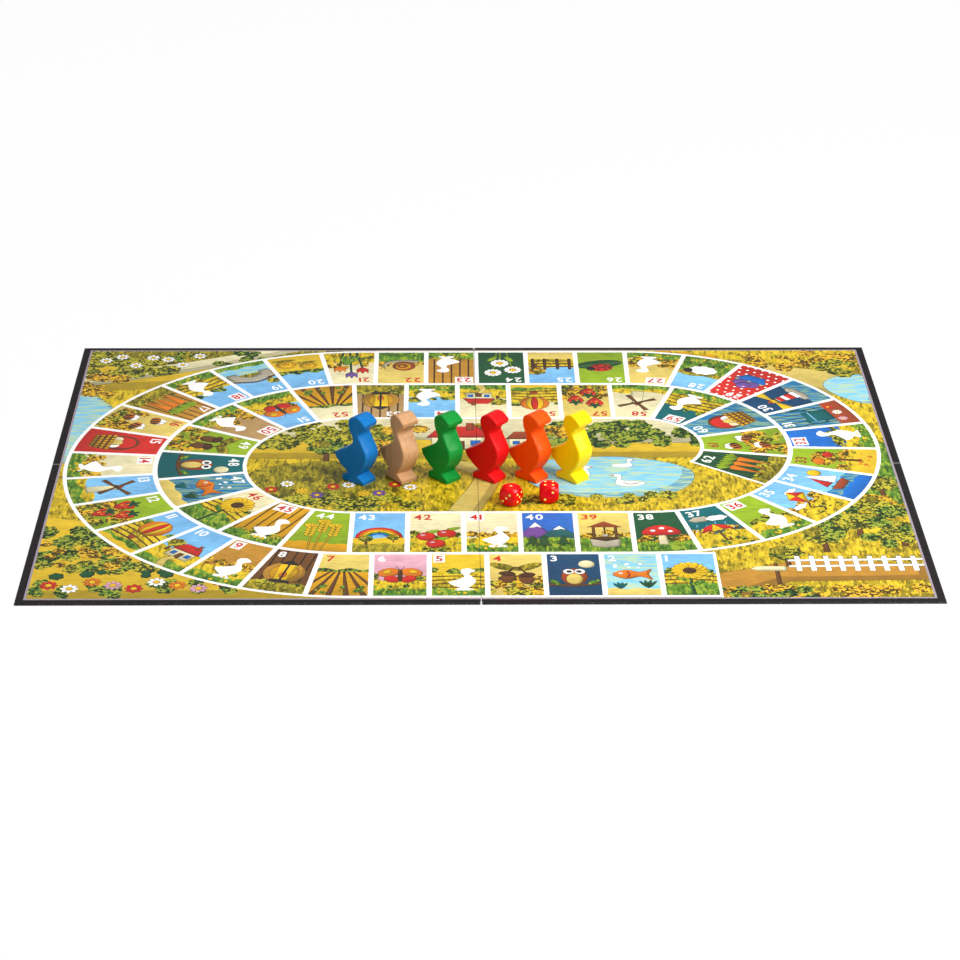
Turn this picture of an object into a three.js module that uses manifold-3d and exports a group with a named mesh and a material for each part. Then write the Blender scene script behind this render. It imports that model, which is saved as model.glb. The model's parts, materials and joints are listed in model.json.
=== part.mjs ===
// Game of the goose: a board of four wrapped panels that folds in quarters, six wooden geese and two dice.
// Millimetres, +Z up. The board lies open with its underside on z = 0, centred on the origin, and its near
// edge faces -Y. A cut runs from the middle of the board to the middle of the near edge.
import * as THREE from 'three';
import { mergeVertices } from 'three/addons/utils/BufferGeometryUtils.js';
import Module from 'manifold-3d';

const wasm = await Module();
wasm.setup();

// Board panels
const PANEL_LENGTH = 280; // half of the open board, left to right
const PANEL_DEPTH = 200; // half of the open board, front to back
const CORE_THICKNESS = 1.15; // grey board inside the wrap
const COVER_THICKNESS = 0.2; // linen paper wrapped round each panel
const LABEL_THICKNESS = 0.15; // printed sheet on the playing side
const TURN_IN = 14; // wrap folded over onto the playing side
const BORDER = 5; // wrap that stays in sight round the print
const FOLD_GAP = 0.3; // between two panels that share a hinge
const SLIT_GAP = 0.4; // cut between the two front panels

// Hinge cloths
const CLOTH_WIDTH = 24; // across the fold
const CLOTH_THICKNESS = 0.2;

// Geese, sawn from a plank: every outline point is [ahead of the toe, above the sole]
const GOOSE_THICKNESS = 13;
const GOOSE_EDGE_BREAK = 0.6; // sanded edge round both faces
const FOOT_LENGTH = 18;
const GOOSE_OUTLINE = {
  toe: [0.4, 2.5],
  instep: [-5, 5.9],
  belly: [0.4, 13.5],
  breast: [2.6, 22.1],
  collar: [-1.8, 30.7],
  throat: [-3.8, 34.9],
  chin: [-1.9, 38.9],
  billUnder: [1.6, 40.7],
  billTip: [2.3, 43.2],
  brow: [-1.8, 46.2],
  crown: [-6, 47.5],
  headBack: [-11.6, 44.5],
  nape: [-11.8, 38.3],
  neckBack: [-8.8, 30.8],
  saddle: [-12.1, 25.5],
  tailTip: [-24.5, 17.9],
  tailUnder: [-23.4, 14.7],
  rump: [-17.8, 9.5],
  ankle: [-12.5, 6.3],
  heel: [-18.1, 3.7],
};
const GOOSE_PITCH = 28; // from goose to goose along their row
const GOOSE_SETBACK = 22.3; // of the row, in front of the cross fold
// A place counts pitches to the right of the middle line and setbacks in front of the cross fold
const GEESE = [
  { name: 'goose_blue', colour: 0x005ca0, place: [-2.77, 1.12], heading: -39 },
  { name: 'goose_natural', colour: 0xc3966e, place: [-1.79, 0.99], heading: -53 },
  { name: 'goose_green', colour: 0x008228, place: [-0.78, 1], heading: -47 },
  { name: 'goose_red', colour: 0xc81419, place: [0.27, 0.99], heading: -38 },
  { name: 'goose_orange', colour: 0xe1550a, place: [1.26, 0.97], heading: -42 },
  { name: 'goose_yellow', colour: 0xfad700, place: [2.21, 1.01], heading: -45 },
];

// Dice
const DIE_EDGE = 12.6;
const DIE_CORNER_CUT = 3; // worn off each corner in the tumbling drum, along the cube's diagonal
const PIP_DIAMETER = 1.7;
const PIP_DEPTH = 0.4;
const PIP_PITCH = 2.5; // between neighbouring rows of pips
const FACE_SUM = 7; // of the pips on two opposite faces
const DICE_PITCH = 24; // from die to die
const DICE_SETBACK = 59.6; // of the dice, in front of the cross fold
// Places as for the geese; faces are named as seen from the near edge
const DICE = [
  { name: 'die_left', place: [0.87, 1.035], turn: -31, top: 1, front: 3, right: 5 },
  { name: 'die_right', place: [1.89, 0.965], turn: -2, top: 4, front: 2, right: 1 },
];

// Levels of the board and segments of the curved pieces
const BORDER_TOP = COVER_THICKNESS + CORE_THICKNESS;
const LABEL_TOP = BORDER_TOP + LABEL_THICKNESS;
const OUTLINE_SEGMENTS = 3;
const DIE_SEGMENTS = 28; // round the ball that the corners are worn to
const PIP_SEGMENTS = 8;
const PANELS = [
  { name: 'back_left', sideX: -1, sideY: 1, slit: false },
  { name: 'back_right', sideX: 1, sideY: 1, slit: false },
  { name: 'front_left', sideX: -1, sideY: -1, slit: true },
  { name: 'front_right', sideX: 1, sideY: -1, slit: true },
];

const greyBoard = new THREE.MeshStandardMaterial({ color: 0x8f8a82, roughness: 0.95, metalness: 0 });
const linenPaper = new THREE.MeshStandardMaterial({ color: 0x1b1a1c, roughness: 0.6, metalness: 0 });
const printedPaper = new THREE.MeshStandardMaterial({ color: 0xd8c98a, roughness: 0.35, metalness: 0 });
const hingeCloth = new THREE.MeshStandardMaterial({ color: 0x26252a, roughness: 0.9, metalness: 0 });
const redPlastic = new THREE.MeshStandardMaterial({ color: 0xcf1016, roughness: 0.25, metalness: 0 });
const paintedWood = (color) => new THREE.MeshStandardMaterial({ color, roughness: 0.45, metalness: 0 });

function toSolid(geometry) {
  const bare = geometry.clone();
  bare.deleteAttribute('normal');
  bare.deleteAttribute('uv');
  const merged = mergeVertices(bare);
  return new wasm.Manifold(new wasm.Mesh({
    numProp: 3,
    vertProperties: new Float32Array(merged.attributes.position.array),
    triVerts: new Uint32Array(merged.index.array),
  }));
}

function toGeometry(solid) {
  const { vertProperties, triVerts } = solid.getMesh();
  const geometry = new THREE.BufferGeometry();
  geometry.setAttribute('position', new THREE.BufferAttribute(vertProperties, 3));
  geometry.setIndex(new THREE.BufferAttribute(triVerts, 1));
  geometry.computeVertexNormals();
  return geometry;
}

function named(name, geometry, material) {
  const mesh = new THREE.Mesh(geometry, material);
  mesh.name = name;
  return mesh;
}

// A box given by its two faces on each axis, so that neighbours share exact face positions
function block(x, y, z) {
  const geometry = new THREE.BoxGeometry(1, 1, 1);
  const corners = geometry.attributes.position;
  const pick = (faces, side) => (side < 0 ? Math.min(...faces) : Math.max(...faces));
  for (let i = 0; i < corners.count; i += 1) {
    const sides = [corners.getX(i), corners.getY(i), corners.getZ(i)];
    corners.setXYZ(i, pick(x, sides[0]), pick(y, sides[1]), pick(z, sides[2]));
  }
  return geometry;
}

// A box in one panel, by its distances from the middle of the board towards the panel's outer corner
function panelBlock(panel, along, across, height) {
  const x = along.map((distance) => panel.sideX * distance);
  const y = across.map((distance) => panel.sideY * distance);
  return block(x, y, height);
}

function joined(geometries) {
  return geometries.map(toSolid).reduce((whole, piece) => whole.add(piece));
}

// Inner faces of a panel: at its slit or spine, and at its cross fold
function innerFaces(panel) {
  return { end: (panel.slit ? SLIT_GAP : FOLD_GAP) / 2, fold: FOLD_GAP / 2 };
}

// The cloths that carry the cross folds stop short of the turned-in wrap at both ends
function wingClothFaces() {
  return [SLIT_GAP / 2 + TURN_IN, PANEL_LENGTH - TURN_IN];
}

// Wrap of one panel: underside sheet, outer edges and the strips turned in over the core.
// On the back panels the underside sheet ends at the spine cloth.
function coverGeometry(panel) {
  const inner = innerFaces(panel);
  const sheetStart = panel.slit ? inner.end : CLOTH_WIDTH / 2;
  const fullLength = [inner.end, PANEL_LENGTH];
  const fullDepth = [inner.fold, PANEL_DEPTH];
  const wall = [0, BORDER_TOP];
  const flap = [BORDER_TOP - COVER_THICKNESS, BORDER_TOP];
  const pieces = [
    panelBlock(panel, [sheetStart, PANEL_LENGTH], fullDepth, [0, COVER_THICKNESS]),
    panelBlock(panel, [PANEL_LENGTH - COVER_THICKNESS, PANEL_LENGTH], fullDepth, wall),
    panelBlock(panel, fullLength, [PANEL_DEPTH - COVER_THICKNESS, PANEL_DEPTH], wall),
    panelBlock(panel, [PANEL_LENGTH - TURN_IN, PANEL_LENGTH], fullDepth, flap),
    panelBlock(panel, fullLength, [PANEL_DEPTH - TURN_IN, PANEL_DEPTH], flap),
  ];
  if (panel.slit) {
    pieces.push(panelBlock(panel, [inner.end, inner.end + COVER_THICKNESS], fullDepth, wall));
    pieces.push(panelBlock(panel, [inner.end, inner.end + TURN_IN], fullDepth, flap));
  }
  return toGeometry(joined(pieces));
}

// Grey board of one panel, stepped down under the turned-in wrap and under the hinge cloths
function coreGeometry(panel) {
  const inner = innerFaces(panel);
  const step = BORDER_TOP - COVER_THICKNESS;
  const slabStart = panel.slit ? inner.end + COVER_THICKNESS : inner.end;
  const topStart = panel.slit ? inner.end + TURN_IN : inner.end;
  const slabLength = [slabStart, PANEL_LENGTH - COVER_THICKNESS];
  const slabDepth = [inner.fold, PANEL_DEPTH - COVER_THICKNESS];
  const slab = panelBlock(panel, slabLength, slabDepth, [COVER_THICKNESS, step]);
  const topDepth = [inner.fold, PANEL_DEPTH - TURN_IN];
  const top = panelBlock(panel, [topStart, PANEL_LENGTH - TURN_IN], topDepth, [step, BORDER_TOP]);
  const wing = block(
    wingClothFaces().map((distance) => panel.sideX * distance),
    [-CLOTH_WIDTH / 2, CLOTH_WIDTH / 2],
    [BORDER_TOP - CLOTH_THICKNESS, BORDER_TOP],
  );
  const spine = block([-CLOTH_WIDTH / 2, CLOTH_WIDTH / 2], [0, PANEL_DEPTH], [0, CLOTH_THICKNESS]);
  const cut = joined([slab, top]).subtract(toSolid(wing));
  return toGeometry(panel.slit ? cut : cut.subtract(toSolid(spine)));
}

function labelGeometry(panel) {
  const inner = innerFaces(panel);
  return panelBlock(
    panel,
    [inner.end, PANEL_LENGTH - BORDER],
    [inner.fold, PANEL_DEPTH - BORDER],
    [BORDER_TOP, LABEL_TOP],
  );
}

function buildBoard() {
  const board = new THREE.Group();
  for (const panel of PANELS) {
    board.add(named(`core_${panel.name}`, coreGeometry(panel), greyBoard));
    board.add(named(`cover_${panel.name}`, coverGeometry(panel), linenPaper));
    board.add(named(`label_${panel.name}`, labelGeometry(panel), printedPaper));
  }
  const halfWidth = [-CLOTH_WIDTH / 2, CLOTH_WIDTH / 2];
  const wingHeight = [BORDER_TOP - CLOTH_THICKNESS, BORDER_TOP];
  const leftFaces = wingClothFaces().map((distance) => -distance);
  const spineDepth = [FOLD_GAP / 2, PANEL_DEPTH - COVER_THICKNESS];
  const spine = block(halfWidth, spineDepth, [0, CLOTH_THICKNESS]);
  board.add(named('hinge_cloth_left', block(leftFaces, halfWidth, wingHeight), hingeCloth));
  board.add(named('hinge_cloth_right', block(wingClothFaces(), halfWidth, wingHeight), hingeCloth));
  board.add(named('hinge_cloth_spine', spine, hingeCloth));
  return board;
}

// Side view of a goose, facing +X with the middle of its sole on the origin
function gooseShape() {
  const toeX = FOOT_LENGTH / 2;
  const at = (key) => new THREE.Vector2(toeX + GOOSE_OUTLINE[key][0], GOOSE_OUTLINE[key][1]);
  const through = (...keys) => keys.map(at);
  const shape = new THREE.Shape();
  shape.moveTo(-toeX, 0);
  shape.lineTo(toeX, 0);
  shape.lineTo(at('toe').x, at('toe').y);
  shape.lineTo(at('instep').x, at('instep').y);
  shape.splineThru(through('belly', 'breast', 'collar', 'throat', 'chin'));
  shape.lineTo(at('billUnder').x, at('billUnder').y);
  shape.lineTo(at('billTip').x, at('billTip').y);
  shape.splineThru(through('brow', 'crown', 'headBack', 'nape', 'neckBack', 'saddle', 'tailTip'));
  shape.lineTo(at('tailUnder').x, at('tailUnder').y);
  shape.splineThru(through('rump', 'ankle'));
  shape.lineTo(at('heel').x, at('heel').y);
  shape.closePath();
  return shape;
}

function gooseGeometry() {
  const geometry = new THREE.ExtrudeGeometry(gooseShape(), {
    depth: GOOSE_THICKNESS - 2 * GOOSE_EDGE_BREAK,
    bevelThickness: GOOSE_EDGE_BREAK,
    bevelSize: GOOSE_EDGE_BREAK,
    bevelOffset: -GOOSE_EDGE_BREAK,
    bevelSegments: 1,
    curveSegments: OUTLINE_SEGMENTS,
  });
  geometry.translate(0, 0, GOOSE_EDGE_BREAK - GOOSE_THICKNESS / 2);
  geometry.rotateX(Math.PI / 2);
  return geometry;
}

function buildGeese() {
  const flock = new THREE.Group();
  for (const goose of GEESE) {
    const mesh = named(goose.name, gooseGeometry(), paintedWood(goose.colour));
    mesh.position.set(goose.place[0] * GOOSE_PITCH, -goose.place[1] * GOOSE_SETBACK, LABEL_TOP);
    mesh.rotation.z = THREE.MathUtils.degToRad(goose.heading);
    flock.add(mesh);
  }
  return flock;
}

// Places of a face's pips, in rows and columns counted from its middle
function pipPlaces(value) {
  const diagonal = [[1, 1], [-1, -1]];
  const otherDiagonal = [[-1, 1], [1, -1]];
  const sides = [[-1, 0], [1, 0]];
  return [
    ...(value % 2 === 1 ? [[0, 0]] : []),
    ...(value > 1 ? diagonal : []),
    ...(value > 3 ? otherDiagonal : []),
    ...(value === 6 ? sides : []),
  ];
}

// A drilled dimple is a cap of a sphere whose rim has the pip's diameter on the face
function pipSolids(value, turnToFace) {
  const rim = PIP_DIAMETER / 2;
  const radius = (rim * rim + PIP_DEPTH * PIP_DEPTH) / (2 * PIP_DEPTH);
  const height = DIE_EDGE / 2 + radius - PIP_DEPTH;
  return pipPlaces(value).map(([column, row]) => {
    const ball = new THREE.SphereGeometry(radius, PIP_SEGMENTS, PIP_SEGMENTS);
    ball.rotateX(Math.PI / 2);
    ball.translate(column * PIP_PITCH, row * PIP_PITCH, height);
    ball.applyMatrix4(turnToFace);
    return toSolid(ball);
  });
}

// A tumbled cube: the part of it that lies within a ball, which leaves a round flat on each face
function tumbledCube() {
  const cube = new THREE.BoxGeometry(DIE_EDGE, DIE_EDGE, DIE_EDGE);
  const radius = (DIE_EDGE * Math.sqrt(3)) / 2 - DIE_CORNER_CUT;
  const ball = new THREE.SphereGeometry(radius, DIE_SEGMENTS, DIE_SEGMENTS / 2);
  return toSolid(cube).intersect(toSolid(ball));
}

function dieGeometry(die) {
  const quarter = Math.PI / 2;
  const upright = new THREE.Matrix4().makeRotationX(quarter);
  const facing = (angle) => new THREE.Matrix4().makeRotationZ(angle).multiply(upright);
  const faces = [
    [die.top, new THREE.Matrix4()],
    [FACE_SUM - die.top, new THREE.Matrix4().makeRotationX(2 * quarter)],
    [die.front, facing(0)],
    [die.right, facing(quarter)],
    [FACE_SUM - die.front, facing(2 * quarter)],
    [FACE_SUM - die.right, facing(-quarter)],
  ];
  let solid = tumbledCube();
  for (const [value, turnToFace] of faces) {
    for (const pip of pipSolids(value, turnToFace)) {
      solid = solid.subtract(pip);
    }
  }
  return toGeometry(solid);
}

function buildDice() {
  const pair = new THREE.Group();
  for (const die of DICE) {
    const mesh = named(die.name, dieGeometry(die), redPlastic);
    mesh.position.set(die.place[0] * DICE_PITCH, -die.place[1] * DICE_SETBACK, LABEL_TOP + DIE_EDGE / 2);
    mesh.rotation.z = THREE.MathUtils.degToRad(die.turn);
    pair.add(mesh);
  }
  return pair;
}

const game = new THREE.Group();
game.add(buildBoard(), buildGeese(), buildDice());

export default game;
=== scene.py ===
"""Looks of the game of the goose board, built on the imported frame.

Lengths are metres in the frame's axes: x to the right, y to the back, z up and the table at z = 0. The print
is drawn in millimetres and scaled when its mesh is made.
"""

from __future__ import annotations

import json
import logging
import math
from dataclasses import dataclass, field, replace
from enum import Enum
from typing import Sequence

import bpy
import numpy as np
from mathutils import Matrix, Vector
from mathutils.geometry import delaunay_2d_cdt

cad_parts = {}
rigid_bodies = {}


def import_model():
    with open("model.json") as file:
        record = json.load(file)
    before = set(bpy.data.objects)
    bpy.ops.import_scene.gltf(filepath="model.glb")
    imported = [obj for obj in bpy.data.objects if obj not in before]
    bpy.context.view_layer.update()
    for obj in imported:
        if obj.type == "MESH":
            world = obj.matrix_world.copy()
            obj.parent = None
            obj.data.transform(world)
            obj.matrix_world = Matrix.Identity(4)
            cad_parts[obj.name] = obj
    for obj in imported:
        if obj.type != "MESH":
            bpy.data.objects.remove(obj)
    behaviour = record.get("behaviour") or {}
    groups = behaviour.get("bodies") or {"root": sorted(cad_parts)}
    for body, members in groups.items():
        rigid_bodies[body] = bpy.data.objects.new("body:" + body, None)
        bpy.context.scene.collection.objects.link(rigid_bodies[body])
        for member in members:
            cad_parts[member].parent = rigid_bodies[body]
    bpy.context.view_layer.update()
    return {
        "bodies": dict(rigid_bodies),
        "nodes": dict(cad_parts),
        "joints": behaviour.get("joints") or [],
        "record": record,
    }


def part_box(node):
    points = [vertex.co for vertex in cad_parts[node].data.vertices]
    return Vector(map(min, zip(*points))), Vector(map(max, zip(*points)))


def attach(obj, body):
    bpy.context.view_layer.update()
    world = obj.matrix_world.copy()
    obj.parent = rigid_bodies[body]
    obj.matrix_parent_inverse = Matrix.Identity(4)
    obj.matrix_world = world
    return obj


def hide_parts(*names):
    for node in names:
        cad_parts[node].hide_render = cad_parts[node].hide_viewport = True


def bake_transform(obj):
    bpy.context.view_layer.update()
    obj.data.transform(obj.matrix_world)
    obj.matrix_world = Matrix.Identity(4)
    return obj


LOG = logging.getLogger("goose_board")
MM = 0.001
Colour = tuple[float, float, float]
Point = tuple[float, float]
Triple = tuple[float, float, float]
Socket = bpy.types.NodeSocket
Node = bpy.types.Node
Piece = bpy.types.Object
Array = np.ndarray
Inputs = dict[str | int, object]

# Board
TURN_IN = 14 * MM
WRAP = 0.2 * MM
WRAP_ROUND = 0.45 * MM
FOLD_REACH = 0.7 * MM
FOLD_ROWS = 9
NOTCH = 0.5 * MM
NOTCH_DEPTH = 4.5 * MM
CREASE = 1.0 * MM
CLOTH_WIDTH = 24 * MM
SLACK = 0.02 * MM
SIDES = (("left", -1), ("right", 1))
ROWS = (("back", 1), ("front", -1))
QUARTER = np.linspace(0, np.pi / 2, 6)

# Print, in millimetres
HALF_WIDTH = 275.0
HALF_DEPTH = 195.0
OVERRUN = 1.0
MIDDLE_GAP = 0.15
LINE_FROM = 2.2
LINE_WIDTH = 0.32
SHADE_FROM = 3.6
LIT_SHIFT = (-0.1, 0.09)
SHADE = 0.45
CURVE_STEPS = 5
OVAL_STEPS = 18
SMALL_OVAL = 2.2
SMALL_OVAL_STEPS = 11
LUMP_STEPS = 3
LUMP_PHASE = 0.6
BAND_REACH = 24.0
WAVE_POINTS = 25
SCATTER_SIZES = (0.7, 1.3)
CLUMP_TILTS = (0, 360)
SPOT_TILTS = (-40, 40)
SIDE_POINTS = 9
UPRIGHT = np.array((0.0, 1.0))
NOWHERE = -1
CLIP_DEPTH = 2
LEAST_SPAN = 1e-6
CUT_NEAR = 1e-5
TRIANGLES_INSIDE = 1

# Camera, fitted to the corners of the board in the photo
LENS = 112.59
SENSOR = 36.0
CAMERA_PLACE = (-0.0250967, -1.800312, 0.83005)
CAMERA_PITCH = 0.436792
CAMERA_YAW = -0.0149585
CAMERA_ROLL = -0.0046998


def srgb(red: float, green: float, blue: float) -> Colour:
    """Turns a screen colour, from 0 to 255, into linear light, from 0 to 1."""
    screen = np.array((red, green, blue)) / 255
    linear = np.where(screen <= 0.04045, screen / 12.92, ((screen + 0.055) / 1.055) ** 2.4)
    return plain(linear)


def plain(values: Array) -> Colour:
    """Returns an array's values, kept between 0 and 1, as a tuple of plain numbers."""
    return tuple(float(value) for value in np.clip(values, 0, 1))


# Mesh helpers


def mesh_object(name: str, vertices: Array, *faces: Array, sharp: float = 40.0) -> Piece:
    """Makes a smooth-shaded object from whole arrays.

    Args:
        name: name of the piece.
        vertices: n by 3 positions in the frame.
        faces: arrays of vertex numbers, one row to a face, of any number of sides each.
        sharp: angle in degrees past which an edge stays sharp.

    Returns:
        The new object, linked to the scene.
    """
    loops = np.concatenate([group.ravel() for group in faces]).astype(np.int32)
    totals = np.concatenate([np.full(len(group), group.shape[1], np.int32) for group in faces])
    mesh = bpy.data.meshes.new(name)
    mesh.vertices.add(len(vertices))
    mesh.vertices.foreach_set("co", np.ascontiguousarray(vertices, np.float32).ravel())
    mesh.loops.add(len(loops))
    mesh.loops.foreach_set("vertex_index", loops)
    mesh.polygons.add(len(totals))
    mesh.polygons.foreach_set("loop_start", np.concatenate([[0], np.cumsum(totals)[:-1]]).astype(np.int32))
    mesh.update(calc_edges=True)
    mesh.validate()
    mesh.shade_smooth()
    mesh.set_sharp_from_angle(angle=math.radians(sharp))
    made = bpy.data.objects.new(name, mesh)
    bpy.context.scene.collection.objects.link(made)
    LOG.info("%s: %d vertices, %d faces", name, len(vertices), len(totals))
    return made


def attribute(piece: Piece, name: str, domain: str, values: Array) -> None:
    """Writes one array as a mesh attribute of numbers, vectors or colours.

    Args:
        piece: object whose mesh takes it.
        name: name that the material reads.
        domain: POINT, FACE or CORNER.
        values: one row of one, three or four numbers to an element.
    """
    kinds = {1: ("FLOAT", "value"), 3: ("FLOAT_VECTOR", "vector"), 4: ("FLOAT_COLOR", "color")}
    kind, key = kinds[values[:1].size]
    layer = piece.data.attributes.new(name, kind, domain)
    layer.data.foreach_set(key, np.ascontiguousarray(values, np.float32).ravel())


def grid_faces(rows: int, columns: int, wrap: bool = False) -> Array:
    """Numbers the quads of a grid whose vertices run along the columns first.

    Args:
        rows, columns: vertices each way.
        wrap: whether the last column joins the first.

    Returns:
        Quads, n by 4.
    """
    row = np.arange(rows - 1)[:, None] * columns
    column = np.arange(columns if wrap else columns - 1)[None, :]
    beside = (column + 1) % columns
    corners = [row + column, row + beside, row + columns + beside, row + columns + column]
    return np.stack(corners, -1).reshape(-1, 4)


def rectangle(x0: float, y0: float, x1: float, y1: float) -> Array:
    """Returns the corners of an upright rectangle, anticlockwise from its low left one."""
    return np.array(((x0, y0), (x1, y0), (x1, y1), (x0, y1)))


def turned(degrees: float) -> Array:
    """Returns the matrix that turns rows of positions about z, anticlockwise from above."""
    c, s = math.cos(math.radians(degrees)), math.sin(math.radians(degrees))
    return np.array(((c, s, 0), (-s, c, 0), (0, 0, 1)))


def slab(plan: Array, faces: Array, low: float, high: float,
         rows: Sequence[float] = ()) -> tuple[Array, list[Array]]:
    """Thickens a flat partition of a rectangle into a closed sheet.

    Top is (x, y, high). The rim, in the order of its angle about the middle, is repeated at (x, y, low),
    carries the walls, and bounds one face below between each pair of rows.

    Args:
        plan: n by 2 positions.
        faces: faces of the top, wound upwards.
        low, high: levels of the two sides.
        rows: values of y where the underside is divided, each a row of vertices right across.

    Returns:
        Vertices and the face groups, the top group first.
    """
    near = 1e-9
    count = len(plan)
    start, end = faces.ravel().astype(np.int64), np.roll(faces, -1, axis=1).ravel().astype(np.int64)
    rim = start[~np.isin(start * count + end, end * count + start)]
    away = plan[rim] - (plan.min(0) + plan.max(0)) / 2
    rim = rim[np.argsort(np.arctan2(away[:, 1], away[:, 0]))]
    top = np.column_stack([plan, np.full(count, high)])
    bottom = np.column_stack([plan[rim], np.full(len(rim), low)])
    below = np.arange(len(rim)) + count
    wall = np.stack([below, np.roll(below, -1), np.roll(rim, -1), rim], -1)
    levels = [-np.inf, *rows, np.inf]
    y = bottom[:, 1]
    under = [below[(y >= a - near) & (y <= b + near)][::-1][None] for a, b in zip(levels, levels[1:])]
    return np.vstack([top, bottom]), [faces, wall, *under]


def catmull(points: Array, steps: int, closed: bool = False) -> Array:
    """Runs a Catmull-Rom curve through points.

    On each span b to c, 2 p(t) = 2 b + (c - a) t + (2 a - 5 b + 4 c - d) t^2 + (3 b - a - 3 c + d) t^3.

    Args:
        points: n by 2 positions.
        steps: samples to a span.
        closed: whether the curve returns to its start.

    Returns:
        The sampled curve.
    """
    b = np.asarray(points, float)
    if closed:
        a, c, d = np.roll(b, 1, 0), np.roll(b, -1, 0), np.roll(b, -2, 0)
    else:
        padded = np.vstack([2 * b[0] - b[1], b, 2 * b[-1] - b[-2]])
        a, b, c, d = padded[:-3], padded[1:-2], padded[2:-1], padded[3:]
    t = (np.arange(steps) / steps)[None, :, None]
    a, b, c, d = (part[:, None, :] for part in (a, b, c, d))
    curve = 0.5 * (2 * b + (c - a) * t + (2 * a - 5 * b + 4 * c - d) * t**2 + (3 * b - a - 3 * c + d) * t**3)
    curve = curve.reshape(-1, 2)
    return curve if closed else np.vstack([curve, np.asarray(points, float)[-1:]])


def signed_area(outline: Array) -> float:
    """Returns the area of a closed outline, positive where it runs anticlockwise."""
    x, y = outline.T
    return 0.5 * float(np.sum(x * np.roll(y, -1) - y * np.roll(x, -1)))


def anticlockwise(outline: Array) -> Array:
    """Returns a closed outline so that it runs anticlockwise."""
    return outline if signed_area(outline) > 0 else outline[::-1]


def inset(outline: Array, distance: Array) -> Array:
    """Moves a closed outline inwards along its mitres.

    Args:
        outline: n by 2 positions, anticlockwise.
        distance: m distances.

    Returns:
        m by n by 2 outlines.
    """
    sharpest = 0.35
    ahead = np.roll(outline, -1, 0) - outline
    ahead /= np.linalg.norm(ahead, axis=1, keepdims=True)
    left = np.column_stack([-ahead[:, 1], ahead[:, 0]])
    before = np.roll(left, 1, 0)
    mitre = (left + before) / (1 + (left * before).sum(1, keepdims=True)).clip(sharpest)
    return outline[None] + distance[:, None, None] * mitre[None]


# Shader helpers


class Graph:
    """Builds the nodes of one tree.

    Args:
        tree: node tree of a material or a group, emptied first.
    """

    def __init__(self, tree: bpy.types.NodeTree) -> None:
        """Takes the tree over and empties it."""
        self.tree = tree
        tree.nodes.clear()

    def node(self, kind: str, inputs: Inputs | None = None, **settings: object) -> Node:
        """Adds a node, sets its properties, and links or sets its inputs.

        Args:
            kind: node type.
            inputs: a socket to link or a value to set, to each input.
            settings: node properties.

        Returns:
            The node.
        """
        made = self.tree.nodes.new(kind)
        for name, value in settings.items():
            setattr(made, name, value)
        self.feed(made, inputs or {})
        return made

    def feed(self, node: Node, inputs: Inputs) -> None:
        """Links or sets inputs of a node, by their names, identifiers or numbers."""
        for name, value in inputs.items():
            named = (item for item in node.inputs if item.identifier == name)
            socket = next(named, None) or node.inputs[name]
            if isinstance(value, Socket):
                self.tree.links.new(value, socket)
            elif isinstance(value, tuple) and socket.type == "RGBA":
                socket.default_value = (*value, 1.0)
            else:
                socket.default_value = value

    def math(self, operation: str, first: object, second: object = 0.0) -> Socket:
        """Adds one arithmetic step and returns its value."""
        return self.node("ShaderNodeMath", {0: first, 1: second}, operation=operation).outputs[0]

    def scaled(self, value: Socket, factor: object) -> Socket:
        """Multiplies a value by a factor and returns it."""
        return self.math("MULTIPLY", value, factor)

    def raised(self, value: Socket, factor: float, base: object) -> Socket:
        """Returns a base plus a value times a factor."""
        return self.math("ADD", self.scaled(value, factor), base)

    def mix(self, factor: object, first: object, second: object) -> Socket:
        """Mixes two colours by a factor and returns the colour."""
        made = self.node("ShaderNodeMix", data_type="RGBA", clamp_factor=True)
        self.feed(made, {"Factor_Float": factor, "A_Color": first, "B_Color": second})
        return next(item for item in made.outputs if item.identifier == "Result_Color")

    def ramp(self, value: Socket, low: float, high: float, start: float = 0.0, end: float = 1.0) -> Socket:
        """Maps low to high smoothly onto start to end and returns the value."""
        inputs = {"Value": value, "From Min": low, "From Max": high, "To Min": start, "To Max": end}
        return self.node("ShaderNodeMapRange", inputs, interpolation_type="SMOOTHSTEP").outputs[0]

    def stretched(self, vector: Socket, scale: Triple) -> Socket:
        """Scales coordinates along each axis and returns them."""
        return self.node("ShaderNodeVectorMath", {0: vector, 1: scale}, operation="MULTIPLY").outputs[0]

    def noise(self, vector: Socket, scale: float, detail: float = 3.0, roughness: float = 0.55) -> Socket:
        """Adds fractal noise and returns its value."""
        inputs = {"Vector": vector, "Scale": scale, "Detail": detail, "Roughness": roughness}
        return self.node("ShaderNodeTexNoise", inputs).outputs[0]

    def read(self, name: str, output: str = "Fac") -> Socket:
        """Returns a mesh attribute."""
        return self.node("ShaderNodeAttribute", attribute_name=name).outputs[output]

    def parts(self, vector: Socket) -> list[Socket]:
        """Returns the three parts of a vector or colour."""
        return list(self.node("ShaderNodeSeparateXYZ", {0: vector}).outputs)

    def place(self) -> Socket:
        """Returns object coordinates."""
        return self.node("ShaderNodeTexCoord").outputs["Object"]


class GroupKind(Enum):
    """Shared surface effects, each named after the method of Effect that builds it."""

    WEAVE = "weave"
    GRAIN = "grain"
    HANDLING = "handling"
    BRUSHWORK = "brushwork"


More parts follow.
